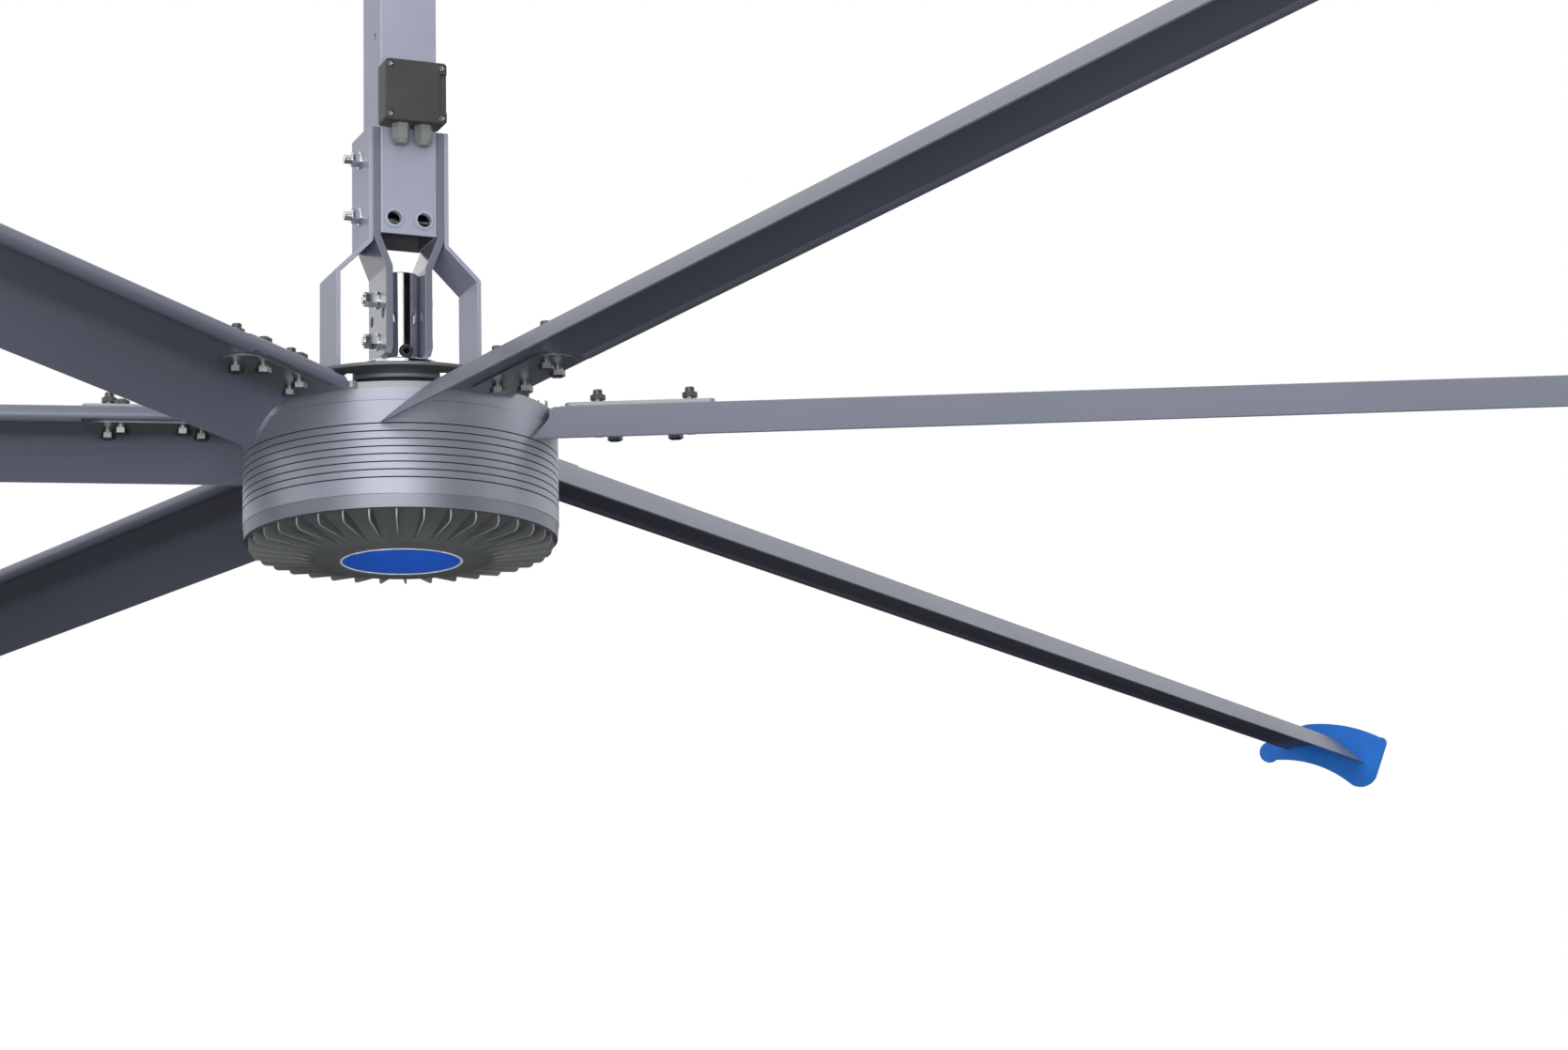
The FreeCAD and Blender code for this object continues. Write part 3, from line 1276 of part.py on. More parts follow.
def build_suspension():
    export("ceiling_plate", ceiling_plate())
    export("drop_tube", drop_tube())
    export("cable_grommets", [grommet(-GROMMET_X), grommet(GROMMET_X)])
    outer = outer_bracket()
    export("outer_bracket_right", outer)
    export("outer_bracket_left", mirrored(outer))
    inner = inner_bracket()
    export("inner_bracket_right", inner)
    export("inner_bracket_left", mirrored(inner))
    tube_end = M12.nut + TUBE_STUD_PROUD
    export("tube_bolts", [cross_bolt(YOKE_SIDE, height, tube_end) for height in TUBE_BOLTS])
    loose = [cross_nuts(YOKE_SIDE, height, [M12.nut]) for height in TUBE_BOLTS]
    export("tube_nuts", sum(loose, []))
    clamp_end = M12.nut + JAM_NUT + THREAD_END
    export("clamp_bolts", [cross_bolt(CLAMP_SIDE, height, clamp_end) for height in CLAMP_BOLTS])
    loose = [cross_nuts(CLAMP_SIDE, height, [M12.nut, JAM_NUT]) for height in CLAMP_BOLTS]
    export("clamp_nuts", sum(loose, []))


def build_junction_box():
    export("box_base", box_base())
    export("box_gasket", box_gasket())
    export("box_lid", box_lid())
    export("box_screws", [box_screw(x, z) for x, z in screw_places()])
    export("terminal_block", terminal_block())
    export("gland_bodies", [gland_body(-GLAND_X), gland_body(GLAND_X)])
    export("gland_caps", [gland_cap(-GLAND_X), gland_cap(GLAND_X)])
    export("gland_locknuts", [gland_locknut(-GLAND_X), gland_locknut(GLAND_X)])


def build_fixed_motor_parts():
    export("motor_shaft", motor_shaft())
    export("cable_bush", cable_bush())
    export("support_disc", support_disc())
    export("foot_bolts", [foot_bolt(x, y) for x, y in foot_bolt_places()])
    export("shaft_collar", shaft_collar())
    export("shaft_spacer", shaft_spacer())
    export("shaft_circlip", shaft_circlip())
    export("stator_core", stator_core())
    export("stator_coils", around(stator_coil(), TOOTH_COUNT))


def build_bearings():
    for name, level in (("upper", UPPER_BEARING), ("lower", LOWER_BEARING)):
        inner, cage, outer = bearing_parts(level)
        export("bearing_inner_" + name, inner)
        export("bearing_cage_" + name, cage)
        export("bearing_outer_" + name, outer)


def build_rotor():
    export("rotor_shell", turned(rotor_shell(), REST_ANGLE))
    export("shaft_seal", shaft_seal())
    export("rotor_magnets", around(rotor_magnet(), MAGNET_COUNT, REST_ANGLE))
    export("bottom_cover", turned(bottom_cover(), REST_ANGLE))
    export("badge_disc", badge_disc())
    export("badge_bezel", badge_bezel())
    export("hub_spider", turned(hub_spider(), REST_ANGLE))
    export("hub_bolts", [turned(hub_bolt(x, y), REST_ANGLE) for x, y in hub_bolt_places()])


def build_blades():
    blades = around(blade(), BLADE_COUNT, REST_ANGLE)
    caps = around(tip_cap(), BLADE_COUNT, REST_ANGLE)
    for number, (blade_shape, cap_shape) in enumerate(zip(blades, caps), 1):
        export("blade_" + str(number), blade_shape)
        export("tip_cap_" + str(number), cap_shape)
    export("upper_plates", around(upper_plate(), BLADE_COUNT, REST_ANGLE))
    export("lower_plates", around(lower_plate(), BLADE_COUNT, REST_ANGLE))
    bolts = [blade_bolt(x, u, UPPER_BOLT_SPACER, BLADE_STUD_PROUD) for x, u in REAR_BOLTS]
    bolts += [blade_bolt(x, u, 0.0, THREAD_END) for x, u in FRONT_BOLTS]
    nuts = [blade_nut(x, u, UPPER_BOLT_SPACER) for x, u in REAR_BOLTS]
    nuts += [blade_nut(x, u, 0.0) for x, u in FRONT_BOLTS]
    spacers = [blade_spacer(x, u, SHELL_TOP + upper_plate_top(), UPPER_BOLT_SPACER) for x, u in REAR_BOLTS]
    spacers += [blade_spacer(x, u, BOLT_HEAD_SEAT, LOWER_BOLT_SPACER) for x, u in REAR_BOLTS + FRONT_BOLTS]
    for node, pieces in (("blade_bolts", bolts), ("blade_nuts", nuts), ("blade_spacers", spacers)):
        export(node, [copy for piece in pieces for copy in around(piece, BLADE_COUNT, REST_ANGLE)])


build_suspension()
build_junction_box()
build_fixed_motor_parts()
build_bearings()
build_rotor()
build_blades()
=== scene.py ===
"""Finishes, fine pieces and studio for a high volume low speed ceiling fan."""

import json
import math
from typing import NamedTuple

import bmesh
import bpy
from bpy.props import FloatProperty, FloatVectorProperty, PointerProperty
from mathutils import Matrix, Vector


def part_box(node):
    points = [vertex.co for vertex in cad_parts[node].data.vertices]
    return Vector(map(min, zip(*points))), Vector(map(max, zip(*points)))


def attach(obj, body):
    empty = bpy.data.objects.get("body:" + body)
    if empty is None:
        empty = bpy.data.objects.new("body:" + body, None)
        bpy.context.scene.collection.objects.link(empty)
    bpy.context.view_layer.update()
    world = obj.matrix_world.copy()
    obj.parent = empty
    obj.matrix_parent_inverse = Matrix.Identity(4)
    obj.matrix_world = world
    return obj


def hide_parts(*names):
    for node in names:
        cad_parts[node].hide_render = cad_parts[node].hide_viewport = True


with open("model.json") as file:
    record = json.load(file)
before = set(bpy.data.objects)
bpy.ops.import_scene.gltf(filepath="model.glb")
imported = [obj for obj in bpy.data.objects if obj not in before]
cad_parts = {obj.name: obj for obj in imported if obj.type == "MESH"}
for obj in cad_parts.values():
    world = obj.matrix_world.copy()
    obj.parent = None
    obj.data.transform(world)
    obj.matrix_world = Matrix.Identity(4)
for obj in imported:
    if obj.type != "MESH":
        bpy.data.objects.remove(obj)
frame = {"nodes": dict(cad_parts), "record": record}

bl_info = {
    "name": "High Volume Low Speed Fan",
    "version": (1, 0, 0),
    "blender": (4, 5, 0),
    "location": "View3D > Sidebar > Fan",
    "description": "Dresses a packed ceiling fan with its finishes and fine pieces",
    "category": "Object",
}

NODES = frame["nodes"]
BODY_OF = {node: body for body, nodes in frame["record"]["behaviour"]["bodies"].items() for node in nodes}
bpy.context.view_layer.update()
MILLIMETRE = 0.001
QUARTER_TURN = math.pi / 2

# Blade 1, and the cover with it, stands this far clockwise from +X at rest, seen from above.
BLADE_ONE = math.radians(19.0)
BLADE_NUMBERS = range(1, 7)
RIB_COUNT = 36
TUBE_SIDES = 4

# What the finishes share.
EDGE_SAMPLES = 4
CREVICE_SAMPLES = 6
# Reach of the lighter edges: worn paint, and on the cover a painted highlight.
WEAR_AND_HIGHLIGHT_REACH = 1.2 * MILLIMETRE
FINISH_SEAM = 0.2 * MILLIMETRE
# Painted shade inside the drop tube reaches this far into its wall past the inner face.
BORE_SHADE_DEPTH = 0.5 * MILLIMETRE
STREAK_DEPTH = 0.02 * MILLIMETRE
HAIR_DEPTH = 0.01 * MILLIMETRE
MOULD_DEPTH = 0.06 * MILLIMETRE
COAT_ROUGHNESS = 0.12
HANGER_PAINT = {"grain": 700.0, "grain_depth": 0.04 * MILLIMETRE, "metallic": 0.25, "wear_and_highlight": 0.5}

# A rib's crest carries a painted highlight, which fades between two shares of its width from its middle
# line, and is at full strength from this multiple of the radius at which it begins.
CREST_CORE = 0.36
CREST_SIDE = 0.5
CREST_FULL = 1.45

# What counts as one point, flat, sharp or creased in a mesh, and how far rounding may move it.
MERGE_DISTANCE = 0.001 * MILLIMETRE
FLAT_ANGLE = math.radians(0.3)
SHARP_ANGLE = math.radians(28.0)
CREASE_ANGLE = math.radians(50.0)
GROWTH_LIMIT = 0.3 * MILLIMETRE

# A bolt's end face is told by its area. The thread's foot is a share of its pitch to each side.
END_TOLERANCE = 0.04
THREAD_SINK = 0.2 * MILLIMETRE
THREAD_FLANK = 0.45
THREAD_STEPS = 16

# The weld bead narrows to its neck and widens again from ripple to ripple.
BEAD_SIDES = 10
BEAD_NECK = 0.76
BEAD_CORNER_STEPS = 4
BEAD_MERGE = 0.02 * MILLIMETRE

# Studio: shares of the floor's colour, the felt of the dark cards and the camera's reach.
FLOOR_SEEN_LOW = 0.10
FLOOR_SEEN_HIGH = 0.11
FLOOR_BOUNCE = 0.12
FELT_DARK = (0.012, 0.012, 0.013)
FELT_PALE = (0.02, 0.02, 0.021)
CLIP_NEAR = 0.05
CLIP_FAR = 400.0


def colour(title, about, default):
    return FloatVectorProperty(
        name=title, description=about, default=default, subtype="COLOR", size=3, min=0.0, max=1.0
    )


def length(title, about, millimetres):
    return FloatProperty(
        name=title, description=about, default=millimetres * MILLIMETRE, unit="LENGTH", min=0.0
    )


def angle(title, about, default):
    return FloatProperty(name=title, description=about, default=default, subtype="ANGLE", unit="ROTATION")


class FanColours(bpy.types.PropertyGroup):
    """Colours of the fan's finishes."""

    hanger: colour("Hanger paint", "Satin paint of the tube, plate and yoke", (0.40, 0.425, 0.53))
    inner_yoke: colour("Inner yoke paint", "Gloss paint of the inner yoke plates", (0.21, 0.225, 0.285))
    # Painted shade: the tube's inside is coloured near black where shade falls in it.
    bore: colour("Tube inside", "Bare steel inside the tube", (0.07, 0.07, 0.074))
    blade: colour("Blade metal", "Anodised aluminium of the blades", (0.185, 0.20, 0.262))
    shell: colour("Shell metal", "Turned aluminium of the motor shell", (0.335, 0.352, 0.415))
    spider: colour("Spider metal", "Aluminium of the spider and upper clamp plates", (0.32, 0.345, 0.355))
    clamp_plate: colour("Clamp plate", "Dark plating of the lower clamp plates", (0.19, 0.205, 0.205))
    disc: colour("Disc paint", "Painted steel of the support disc", (0.148, 0.161, 0.178))
    hardware: colour("Hardware", "Bright plated bolts, nuts and screws", (0.72, 0.73, 0.76))
    # Dull plating, darkened further as painted shade for the bolts and spacers in shadow at the blade roots.
    dull_shaded_hardware: colour("Dull hardware", "Dull bolts and spacers of the blades", (0.24, 0.25, 0.26))
    # Painted reflection: the blade nuts are near black to stand in for the dark reflections on them.
    dark_reflection_hardware: colour("Dark hardware", "Blackened plating of the blade nuts", (0.06, 0.06, 0.064))
    shaft: colour("Shaft steel", "Polished steel of the shaft and collar", (0.66, 0.67, 0.71))
    cover: colour("Cover paint", "Dark paint of the ribbed bottom cover", (0.098, 0.105, 0.108))
    # Painted highlight: the rib crests are coloured pale where light catches them.
    crest: colour("Rib crests", "Bare metal on the crests of the cover's ribs", (0.36, 0.38, 0.39))
    badge: colour("Badge blue", "Enamel of the plain badge", (0.012, 0.10, 0.58))
    bezel: colour("Badge rim", "Pale rim of the badge", (0.72, 0.74, 0.78))
    cap: colour("Tip cap blue", "Moulded blade tip caps", (0.006, 0.19, 0.75))
    box: colour("Box plastic", "Moulded junction box", (0.046, 0.046, 0.046))
    gland: colour("Gland plastic", "Moulded cable glands", (0.20, 0.21, 0.21))
    rubber: colour("Rubber", "Gasket, bush and seal", (0.018, 0.018, 0.019))
    iron: colour("Stator iron", "Stacked stator sheets", (0.20, 0.20, 0.21))
    magnet: colour("Magnet plating", "Nickel plated magnets", (0.42, 0.42, 0.43))
    copper: colour("Winding", "Enamelled copper wire", (0.50, 0.17, 0.06))


class FanSizes(bpy.types.PropertyGroup):
    """Sizes of the fan's fine shapes."""

    steel_edge: length("Steel edge", "Rounding on the tube, plate, yoke and disc", 0.8)
    plate_edge: length("Clamp plate edge", "Rounding on the spider and the clamp plates", 0.5)
    cover_edge: length("Cover edge", "Rounding on the ribs of the bottom cover", 0.4)
    # Width and start of the painted highlight on the rib crests.
    crest_highlight_width: length("Rib width", "Width of the bare crest of a rib", 2.4)
    crest_highlight_start: length("Rib start", "Distance from the middle at which the bare crests begin", 128.0)
    plastic_edge: length("Plastic edge", "Rounding on the junction box and the tip caps", 0.6)
    bolt_edge: length("Fastener edge", "Rounding on bolts, blade nuts and screws", 0.25)
    nut_edge: length("Nut edge", "Rounding on the nuts and washers of the yoke", 0.5)
    thread_pitch: length("Thread pitch", "Distance from one turn of a bolt's thread to the next", 1.75)
    thread_depth: length("Thread depth", "Height of a bolt's thread", 0.7)
    tube_thread: length("Tube bolt thread", "Length of the thread that stands out of the tube's nuts", 9.8)
    blade_thread: length("Blade bolt thread", "Length of the thread that stands out of the blade nuts", 6.8)
    bolt_radius: length("Bolt radius", "Radius of the bolts through the yoke and the blade roots", 6.0)
    weld: length("Weld bead", "Radius of the bead between tube and ceiling plate", 4.0)
    weld_pitch: length("Weld ripples", "Distance from one ripple of the weld to the next", 5.0)
    # Painted shade: the shell is darker below this height, where its lip faces down.
    shell_lip_shade: length("Shell lip", "Height of the duller lip at the foot of the motor shell", 17.4)
    tube_wall: length("Tube wall", "Wall of the drop tube", 4.0)
    tube_corner: length("Tube corner", "Radius of the tube's corners at the weld", 3.0)


class FanStage(bpy.types.PropertyGroup):
    """Camera and light of the studio."""

    lens: FloatProperty(name="Lens", description="Focal length", default=93.746, unit="CAMERA")
    sensor: FloatProperty(name="Sensor", description="Sensor width", default=36.0, unit="CAMERA")
    eye: FloatVectorProperty(
        name="Camera place", description="Where the camera stands",
        default=(-1.5853, -5.0898, -2.2623), subtype="TRANSLATION", unit="LENGTH",
    )
    heading: angle("Heading", "Turn of the camera to the right of +Y", 0.39774)
    pitch: angle("Pitch", "Upward tilt of the camera", 0.2216)
    roll: angle("Roll", "Turn of the camera about its own line of sight", -0.0248)
    floor_level: FloatProperty(
        name="Floor", description="Height of the floor under the fan", default=-5.5, unit="LENGTH"
    )
    floor_side: FloatProperty(
        name="Floor width", description="Width of the floor", default=240.0, unit="LENGTH"
    )
    floor_colour: colour("Floor colour", "Pale studio floor", (0.86, 0.86, 0.87))
    floor_glow: FloatProperty(
        name="Floor glow", description="How pale the floor shows to the camera", default=0.80, min=0.0
    )
    ambient: FloatProperty(
        name="Ambient", description="Light of the room on the fan", default=0.36, min=0.0
    )


class Wire:
    """An output socket that takes part in Python expressions."""

    def __init__(self, finish, socket):
        self.finish = finish
        self.socket = socket

    def __add__(self, other):
        return self.finish.compute("ADD", self, other)

    def __radd__(self, other):
        return self.finish.compute("ADD", other, self)

    def __sub__(self, other):
        return self.finish.compute("SUBTRACT", self, other)

    def __rsub__(self, other):
        return self.finish.compute("SUBTRACT", other, self)

    def __mul__(self, other):
        return self.finish.compute("MULTIPLY", self, other)

    def __rmul__(self, other):
        return self.finish.compute("MULTIPLY", other, self)

    def __abs__(self):
        return self.finish.compute("ABSOLUTE", self)

    def __or__(self, other):
        return self.finish.compute("MAXIMUM", self, other)


class Finish:
    """A node tree that is filled by short calls."""

    def __init__(self, tree):
        self.tree = tree
        tree.nodes.clear()

    def node(self, kind, settings=(), inputs=(), output=0):
        """Add a node, give it its settings and inputs, and return one of its outputs."""
        made = self.tree.nodes.new(kind)
        for name, value in dict(settings).items():
            setattr(made, name, value)
        for key, value in dict(inputs).items():
            if isinstance(value, Wire):
                self.tree.links.new(value.socket, made.inputs[key])
            else:
                made.inputs[key].default_value = value
        return Wire(self, made.outputs[output]) if made.outputs else None

    def compute(self, operation, first, second=0.0):
        return self.node("ShaderNodeMath", {"operation": operation}, {0: first, 1: second})

    def place(self, scale=(1, 1, 1), turn=(0, 0, 0)):
        """Object coordinates, turned and then stretched."""
        point = self.node("ShaderNodeTexCoord", output="Object")
        facing = self.node(
            "ShaderNodeVectorRotate", {"rotation_type": "EULER_XYZ"}, {"Vector": point, "Rotation": turn}
        )
        return self.node("ShaderNodeVectorMath", {"operation": "MULTIPLY"}, {0: facing, 1: scale})

    def along(self, axis, point):
        return self.node("ShaderNodeSeparateXYZ", inputs={"Vector": point}, output=axis)

    def ray(self, kind):
        """Mask that is 1 for one kind of light path."""
        return self.node("ShaderNodeLightPath", output=f"Is {kind} Ray")

    def noise(self, point, scale, detail=3.0, roughness=0.55):
        return self.node(
            "ShaderNodeTexNoise",
            inputs={"Vector": point, "Scale": scale, "Detail": detail, "Roughness": roughness},
        )

    def blend(self, amount, first, second):
        """Mix two colours. A Mix node's colour sockets share their names, so they go by number."""
        settings = {"data_type": "RGBA"}
        return self.node("ShaderNodeMix", settings, {0: amount, 6: first, 7: second}, output=2)

    def bump(self, height, strength, distance):
        return self.node(
            "ShaderNodeBump", inputs={"Height": height, "Strength": strength, "Distance": distance}
        )

    def stretch(self, value, low, high, top=1.0):
        """Rise smoothly from 0 to top as value goes from low to high."""
        return self.node(
            "ShaderNodeMapRange",
            {"interpolation_type": "SMOOTHSTEP"},
            {"Value": value, "From Min": low, "From Max": high, "To Min": 0.0, "To Max": top},
        )

    def edge(self, radius):
        """Mask that is 1 on rounded-off edges and 0 on open faces."""
        rounded = self.node("ShaderNodeBevel", {"samples": EDGE_SAMPLES}, {"Radius": radius})
        flat = self.node("ShaderNodeNewGeometry", output="Normal")
        likeness = self.node(
            "ShaderNodeVectorMath", {"operation": "DOT_PRODUCT"}, {0: rounded, 1: flat}, output="Value"
        )
        return self.stretch(1.0 - likeness, low=0.02, high=0.2)

    def crevice_shade(self, reach):
        """Mask that is 1 deep in grooves and against neighbours, and 0 on open faces; it darkens colours as
        painted shade.
        """
        openness = self.node(
            "ShaderNodeAmbientOcclusion", {"samples": CREVICE_SAMPLES}, {"Distance": reach}, output="AO"
        )
        return self.stretch(1.0 - openness, low=0.35, high=0.85)

    def square_reach(self):
        """Distance from the tube's middle line, counted square to its walls."""
        point = self.place()
        return abs(self.along("X", point)) | abs(self.along("Y", point))

    def rib_crest_highlight(self, width, start):
        """Mask for a painted highlight, 1 on the crests of the cover's ribs further out than start."""
        flat = self.place((1, 1, 0))
        radius = self.node("ShaderNodeVectorMath", {"operation": "LENGTH"}, {0: flat}, output="Value")
        bearing = self.compute("ARCTAN2", self.along("Y", flat), self.along("X", flat))
        away = self.compute("PINGPONG", bearing + BLADE_ONE, math.pi / RIB_COUNT)
        near = 1.0 - self.stretch(away * radius, CREST_CORE * width, CREST_SIDE * width)
        return near * self.stretch(radius, start, CREST_FULL * start)

    def surface(self, **inputs):
        """End the tree in a shader whose sockets are named in the call."""
        shader = self.node("ShaderNodeBsdfPrincipled", inputs={
            name.replace("_", " ").title().replace("Ior", "IOR"): value for name, value in inputs.items()
        })
        self.node("ShaderNodeOutputMaterial", inputs={"Surface": shader})


def rgba(shade, share=1.0):
    return tuple(min(1.0, part * share) for part in shade) + (1.0,)


def new_finish(name):
    material = bpy.data.materials.new(name)
    material.use_nodes = True
    return material, Finish(material.node_tree)


def painted(
    name, shade, roughness, grain, grain_depth, metallic=0.0, coat=0.0, wear_and_highlight=0.0,
    painted_shade=0.45, painted_shade_reach=5.0 * MILLIMETRE, inside=None, crest=None,
):
    """Paint with slow clouding, fine grain, painted shade in corners and, where asked for, lighter edges as
    worn paint and painted highlight.

    inside is the reach from the tube's middle line within which the colour is a painted shade, and that
    colour.
    crest is the width of the painted highlight on the ribs' crests, the radius at which it begins, and its
    colour.
    """
    material, finish = new_finish(name)
    point = finish.place()
    cloud = finish.noise(point, scale=5.0, detail=5.0)
    speck = finish.noise(point, scale=grain, detail=2.0)
    patches = finish.stretch(cloud, low=0.3, high=0.7)
    base = finish.blend(patches, rgba(shade, share=0.93), rgba(shade, share=1.06))
    dots = finish.stretch(speck, low=0.35, high=0.75, top=0.35)
    base = finish.blend(dots, base, rgba(shade, share=0.82))
    # Painted shade: ambient occlusion darkens corners, grooves and contacts with neighbours.
    base = finish.blend(painted_shade * finish.crevice_shade(painted_shade_reach), base, rgba(shade, share=0.35))
    # Lighter edges: worn paint, and on the cover a painted highlight on its rib edges.
    if wear_and_highlight:
        spots = finish.stretch(finish.noise(point, scale=60.0), low=0.45, high=0.7)
        base = finish.blend(finish.edge(WEAR_AND_HIGHLIGHT_REACH) * spots * wear_and_highlight, base, rgba(shade, share=1.9))
    # Painted highlight on the crests of the cover's ribs.
    if crest:
        width, start, bare = crest
        base = finish.blend(finish.rib_crest_highlight(width, start), base, rgba(bare))
    # Painted shade inside the drop tube.
    if inside:
        reach, bare = inside
        outer = finish.stretch(finish.square_reach(), reach - FINISH_SEAM, reach)
        base = finish.blend(outer, rgba(bare), base)
    finish.surface(
        base_color=base,
        roughness=roughness + 0.10 * (cloud - 0.5) + 0.06 * (speck - 0.5),
        metallic=metallic,
        coat_weight=coat,
        coat_roughness=COAT_ROUGHNESS,
        normal=finish.bump(speck, strength=0.35, distance=grain_depth),
    )
    return material


def streaked(
    name, shade, roughness, stretch_by, turn=(0, 0, 0), metallic=0.9, contrast=0.12, gloss=0.5, lip=None
):
    """Metal with fine lines along one direction, which has the small number in stretch_by.

    lip is the height up to which the colour is darker, as painted shade on the shell's lip.
    """
    material, finish = new_finish(name)
    fine = finish.noise(finish.place(stretch_by, turn), scale=1.0, detail=4.0, roughness=0.7)
    cloud = finish.noise(finish.place(), scale=3.5, detail=4.0)
    lines = finish.stretch(fine, low=0.3, high=0.7)
    base = finish.blend(lines, rgba(shade, 1.0 - contrast), rgba(shade, 1.0 + contrast))
    patches = finish.stretch(cloud, low=0.35, high=0.7, top=0.3)
    base = finish.blend(patches, base, rgba(shade, share=0.86))
    # Painted shade: ambient occlusion darkens the grooves.
    base = finish.blend(0.85 * finish.crevice_shade(2.5 * MILLIMETRE), base, rgba(shade, share=0.12))
    # Painted shade on the lip below the given height.
    if lip:
        height = finish.along("Z", finish.place())
        base = finish.blend(finish.stretch(height, lip - FINISH_SEAM, lip), rgba(shade, share=0.62), base)
    finish.surface(
        base_color=base,
        roughness=roughness + 0.18 * (fine - 0.5) + 0.10 * (cloud - 0.5),
        metallic=metallic,
        specular_ior_level=gloss,
        normal=finish.bump(fine, strength=0.25, distance=STREAK_DEPTH),
    )
    return material


def polished(name, shade, roughness):
    """Bright metal with faint smears and hair scratches."""
    material, finish = new_finish(name)
    smear = finish.noise(finish.place(), scale=45.0, detail=4.0)
    hair = finish.noise(finish.place(scale=(60, 60, 2600)), scale=1.0, detail=2.0)
    patches = finish.stretch(smear, low=0.3, high=0.75)
    finish.surface(
        base_color=finish.blend(patches, rgba(shade, share=1.04), rgba(shade, share=0.88)),
        roughness=roughness + 0.12 * (smear - 0.45) + 0.05 * (hair - 0.5),
        metallic=1.0,
        normal=finish.bump(hair, strength=0.12, distance=HAIR_DEPTH),
    )
    return material


def moulded(name, shade, roughness, grain, coat=0.0):
    """Plastic or rubber with the fine grain of its mould."""
    material, finish = new_finish(name)
    point = finish.place()
    grit = finish.noise(point, scale=grain, detail=3.0, roughness=0.6)
    cloud = finish.noise(point, scale=14.0, detail=3.0)
    patches = finish.stretch(cloud, low=0.3, high=0.75)
    finish.surface(
        base_color=finish.blend(patches, rgba(shade, share=0.9), rgba(shade, share=1.12)),
        roughness=roughness + 0.12 * (grit - 0.5) + 0.08 * (cloud - 0.5),
        coat_weight=coat,
        coat_roughness=COAT_ROUGHNESS,
        normal=finish.bump(grit, strength=0.3, distance=MOULD_DEPTH),
    )
    return material


def dress(material, *names):
    """Give solids their finish and leave their shape alone."""
    for name in names:
        for slot in NODES[name].material_slots:
            slot.material = material


def link(context, item):
    context.scene.collection.objects.link(item)
    return item


def finished(shape, name, material):
    """Turn a bmesh into a smooth-shaded object with crisp creases."""
    for face in shape.faces:
        face.smooth = True
    for edge in shape.edges:
        edge.smooth = edge.is_manifold and edge.calc_face_angle() < CREASE_ANGLE
    mesh = bpy.data.meshes.new(name)
    shape.to_mesh(mesh)
    shape.free()
    mesh.materials.append(material)
    piece = link(bpy.context, bpy.data.objects.new(name, mesh))
    level = piece.modifiers.new("level_faces", "WEIGHTED_NORMAL")
    level.keep_sharp = True
    return piece


def merged_copy(name):
    """Copy a node's loose triangles into a bmesh with whole faces."""
    shape = bmesh.new()
    shape.from_mesh(NODES[name].data)
    bmesh.ops.remove_doubles(shape, verts=shape.verts, dist=MERGE_DISTANCE)
    bmesh.ops.dissolve_limit(shape, angle_limit=FLAT_ANGLE, verts=shape.verts, edges=shape.edges)
    return shape


def is_sharp(edge):
    """True for a sharp edge that touches no neighbouring solid of its own node."""
    return edge.calc_face_angle(0.0) > SHARP_ANGLE and all(vert.is_manifold for vert in edge.verts)


def soften(material, width, *names):
    """Show solids with their sharp edges rounded off by width."""
    for name in names:
        shape = merged_copy(name)
        bmesh.ops.bevel(
            shape, geom=[edge for edge in shape.edges if is_sharp(edge)],
            offset=width, offset_type="OFFSET", segments=2, profile=0.5, affect="EDGES", material=-1,
            loop_slide=True,
        )
        low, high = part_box(name)
        for vert in shape.verts:
            for part, least, most in zip(vert.co, low, high):
                if part < least - GROWTH_LIMIT or part > most + GROWTH_LIMIT:
                    raise RuntimeError(f"{name} grew while its edges were rounded")
        piece = finished(shape, name + "_rounded", material)
        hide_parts(name)
        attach(piece, BODY_OF[name])


def bolt_ends(node, radius):
    """Middle and direction of every face in a node that has a bolt's round section."""
    bolts = merged_copy(node)
    section = math.pi * radius ** 2
    ends = [
        (face.calc_center_median(), face.normal.copy())
        for face in bolts.faces if abs(face.calc_area() / section - 1.0) < END_TOLERANCE
    ]
    bolts.free()
    return ends


def add_threads(node, proud, sizes, material):
    """Wind a thread round the last stretch, of length proud, of every bolt in a node."""
    pitch, radius = sizes.thread_pitch, sizes.bolt_radius
    turns = proud / pitch - 1.0
    shape = bmesh.new()
    for middle, axis in bolt_ends(node, radius):
        outward = axis.orthogonal().normalized()
        start = middle - axis * (proud - pitch / 2)
        foot = start + outward * (radius - THREAD_SINK)
        corners = (
            foot - axis * pitch * THREAD_FLANK,
            start + outward * (radius + sizes.thread_depth),
            foot + axis * pitch * THREAD_FLANK,
        )
        profile = shape.faces.new([shape.verts.new(corner) for corner in corners])
        rim = list(profile.edges)
        bmesh.ops.spin(
            shape, geom=[*profile.verts, *profile.edges, profile], cent=middle, axis=axis,
            dvec=axis * pitch / THREAD_STEPS, angle=math.tau * turns, steps=round(THREAD_STEPS * turns),
            use_merge=False,
        )
        bmesh.ops.holes_fill(shape, edges=[edge for edge in rim if edge.is_valid], sides=len(corners))
    bmesh.ops.recalc_face_normals(shape, faces=shape.faces)
    piece = finished(shape, node + "_threads", material)
    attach(piece, BODY_OF[node])


def grown_ring(shape, ring):
    """Extrude a ring of edges on the spot, and return the new ring's edges and vertices."""
    grown = bmesh.ops.extrude_edge_only(shape, edges=ring)["geom"]
    verts = [item for item in grown if isinstance(item, bmesh.types.BMVert)]
    edges = [item for item in grown if isinstance(item, bmesh.types.BMEdge) and item.is_boundary]
    return edges, verts


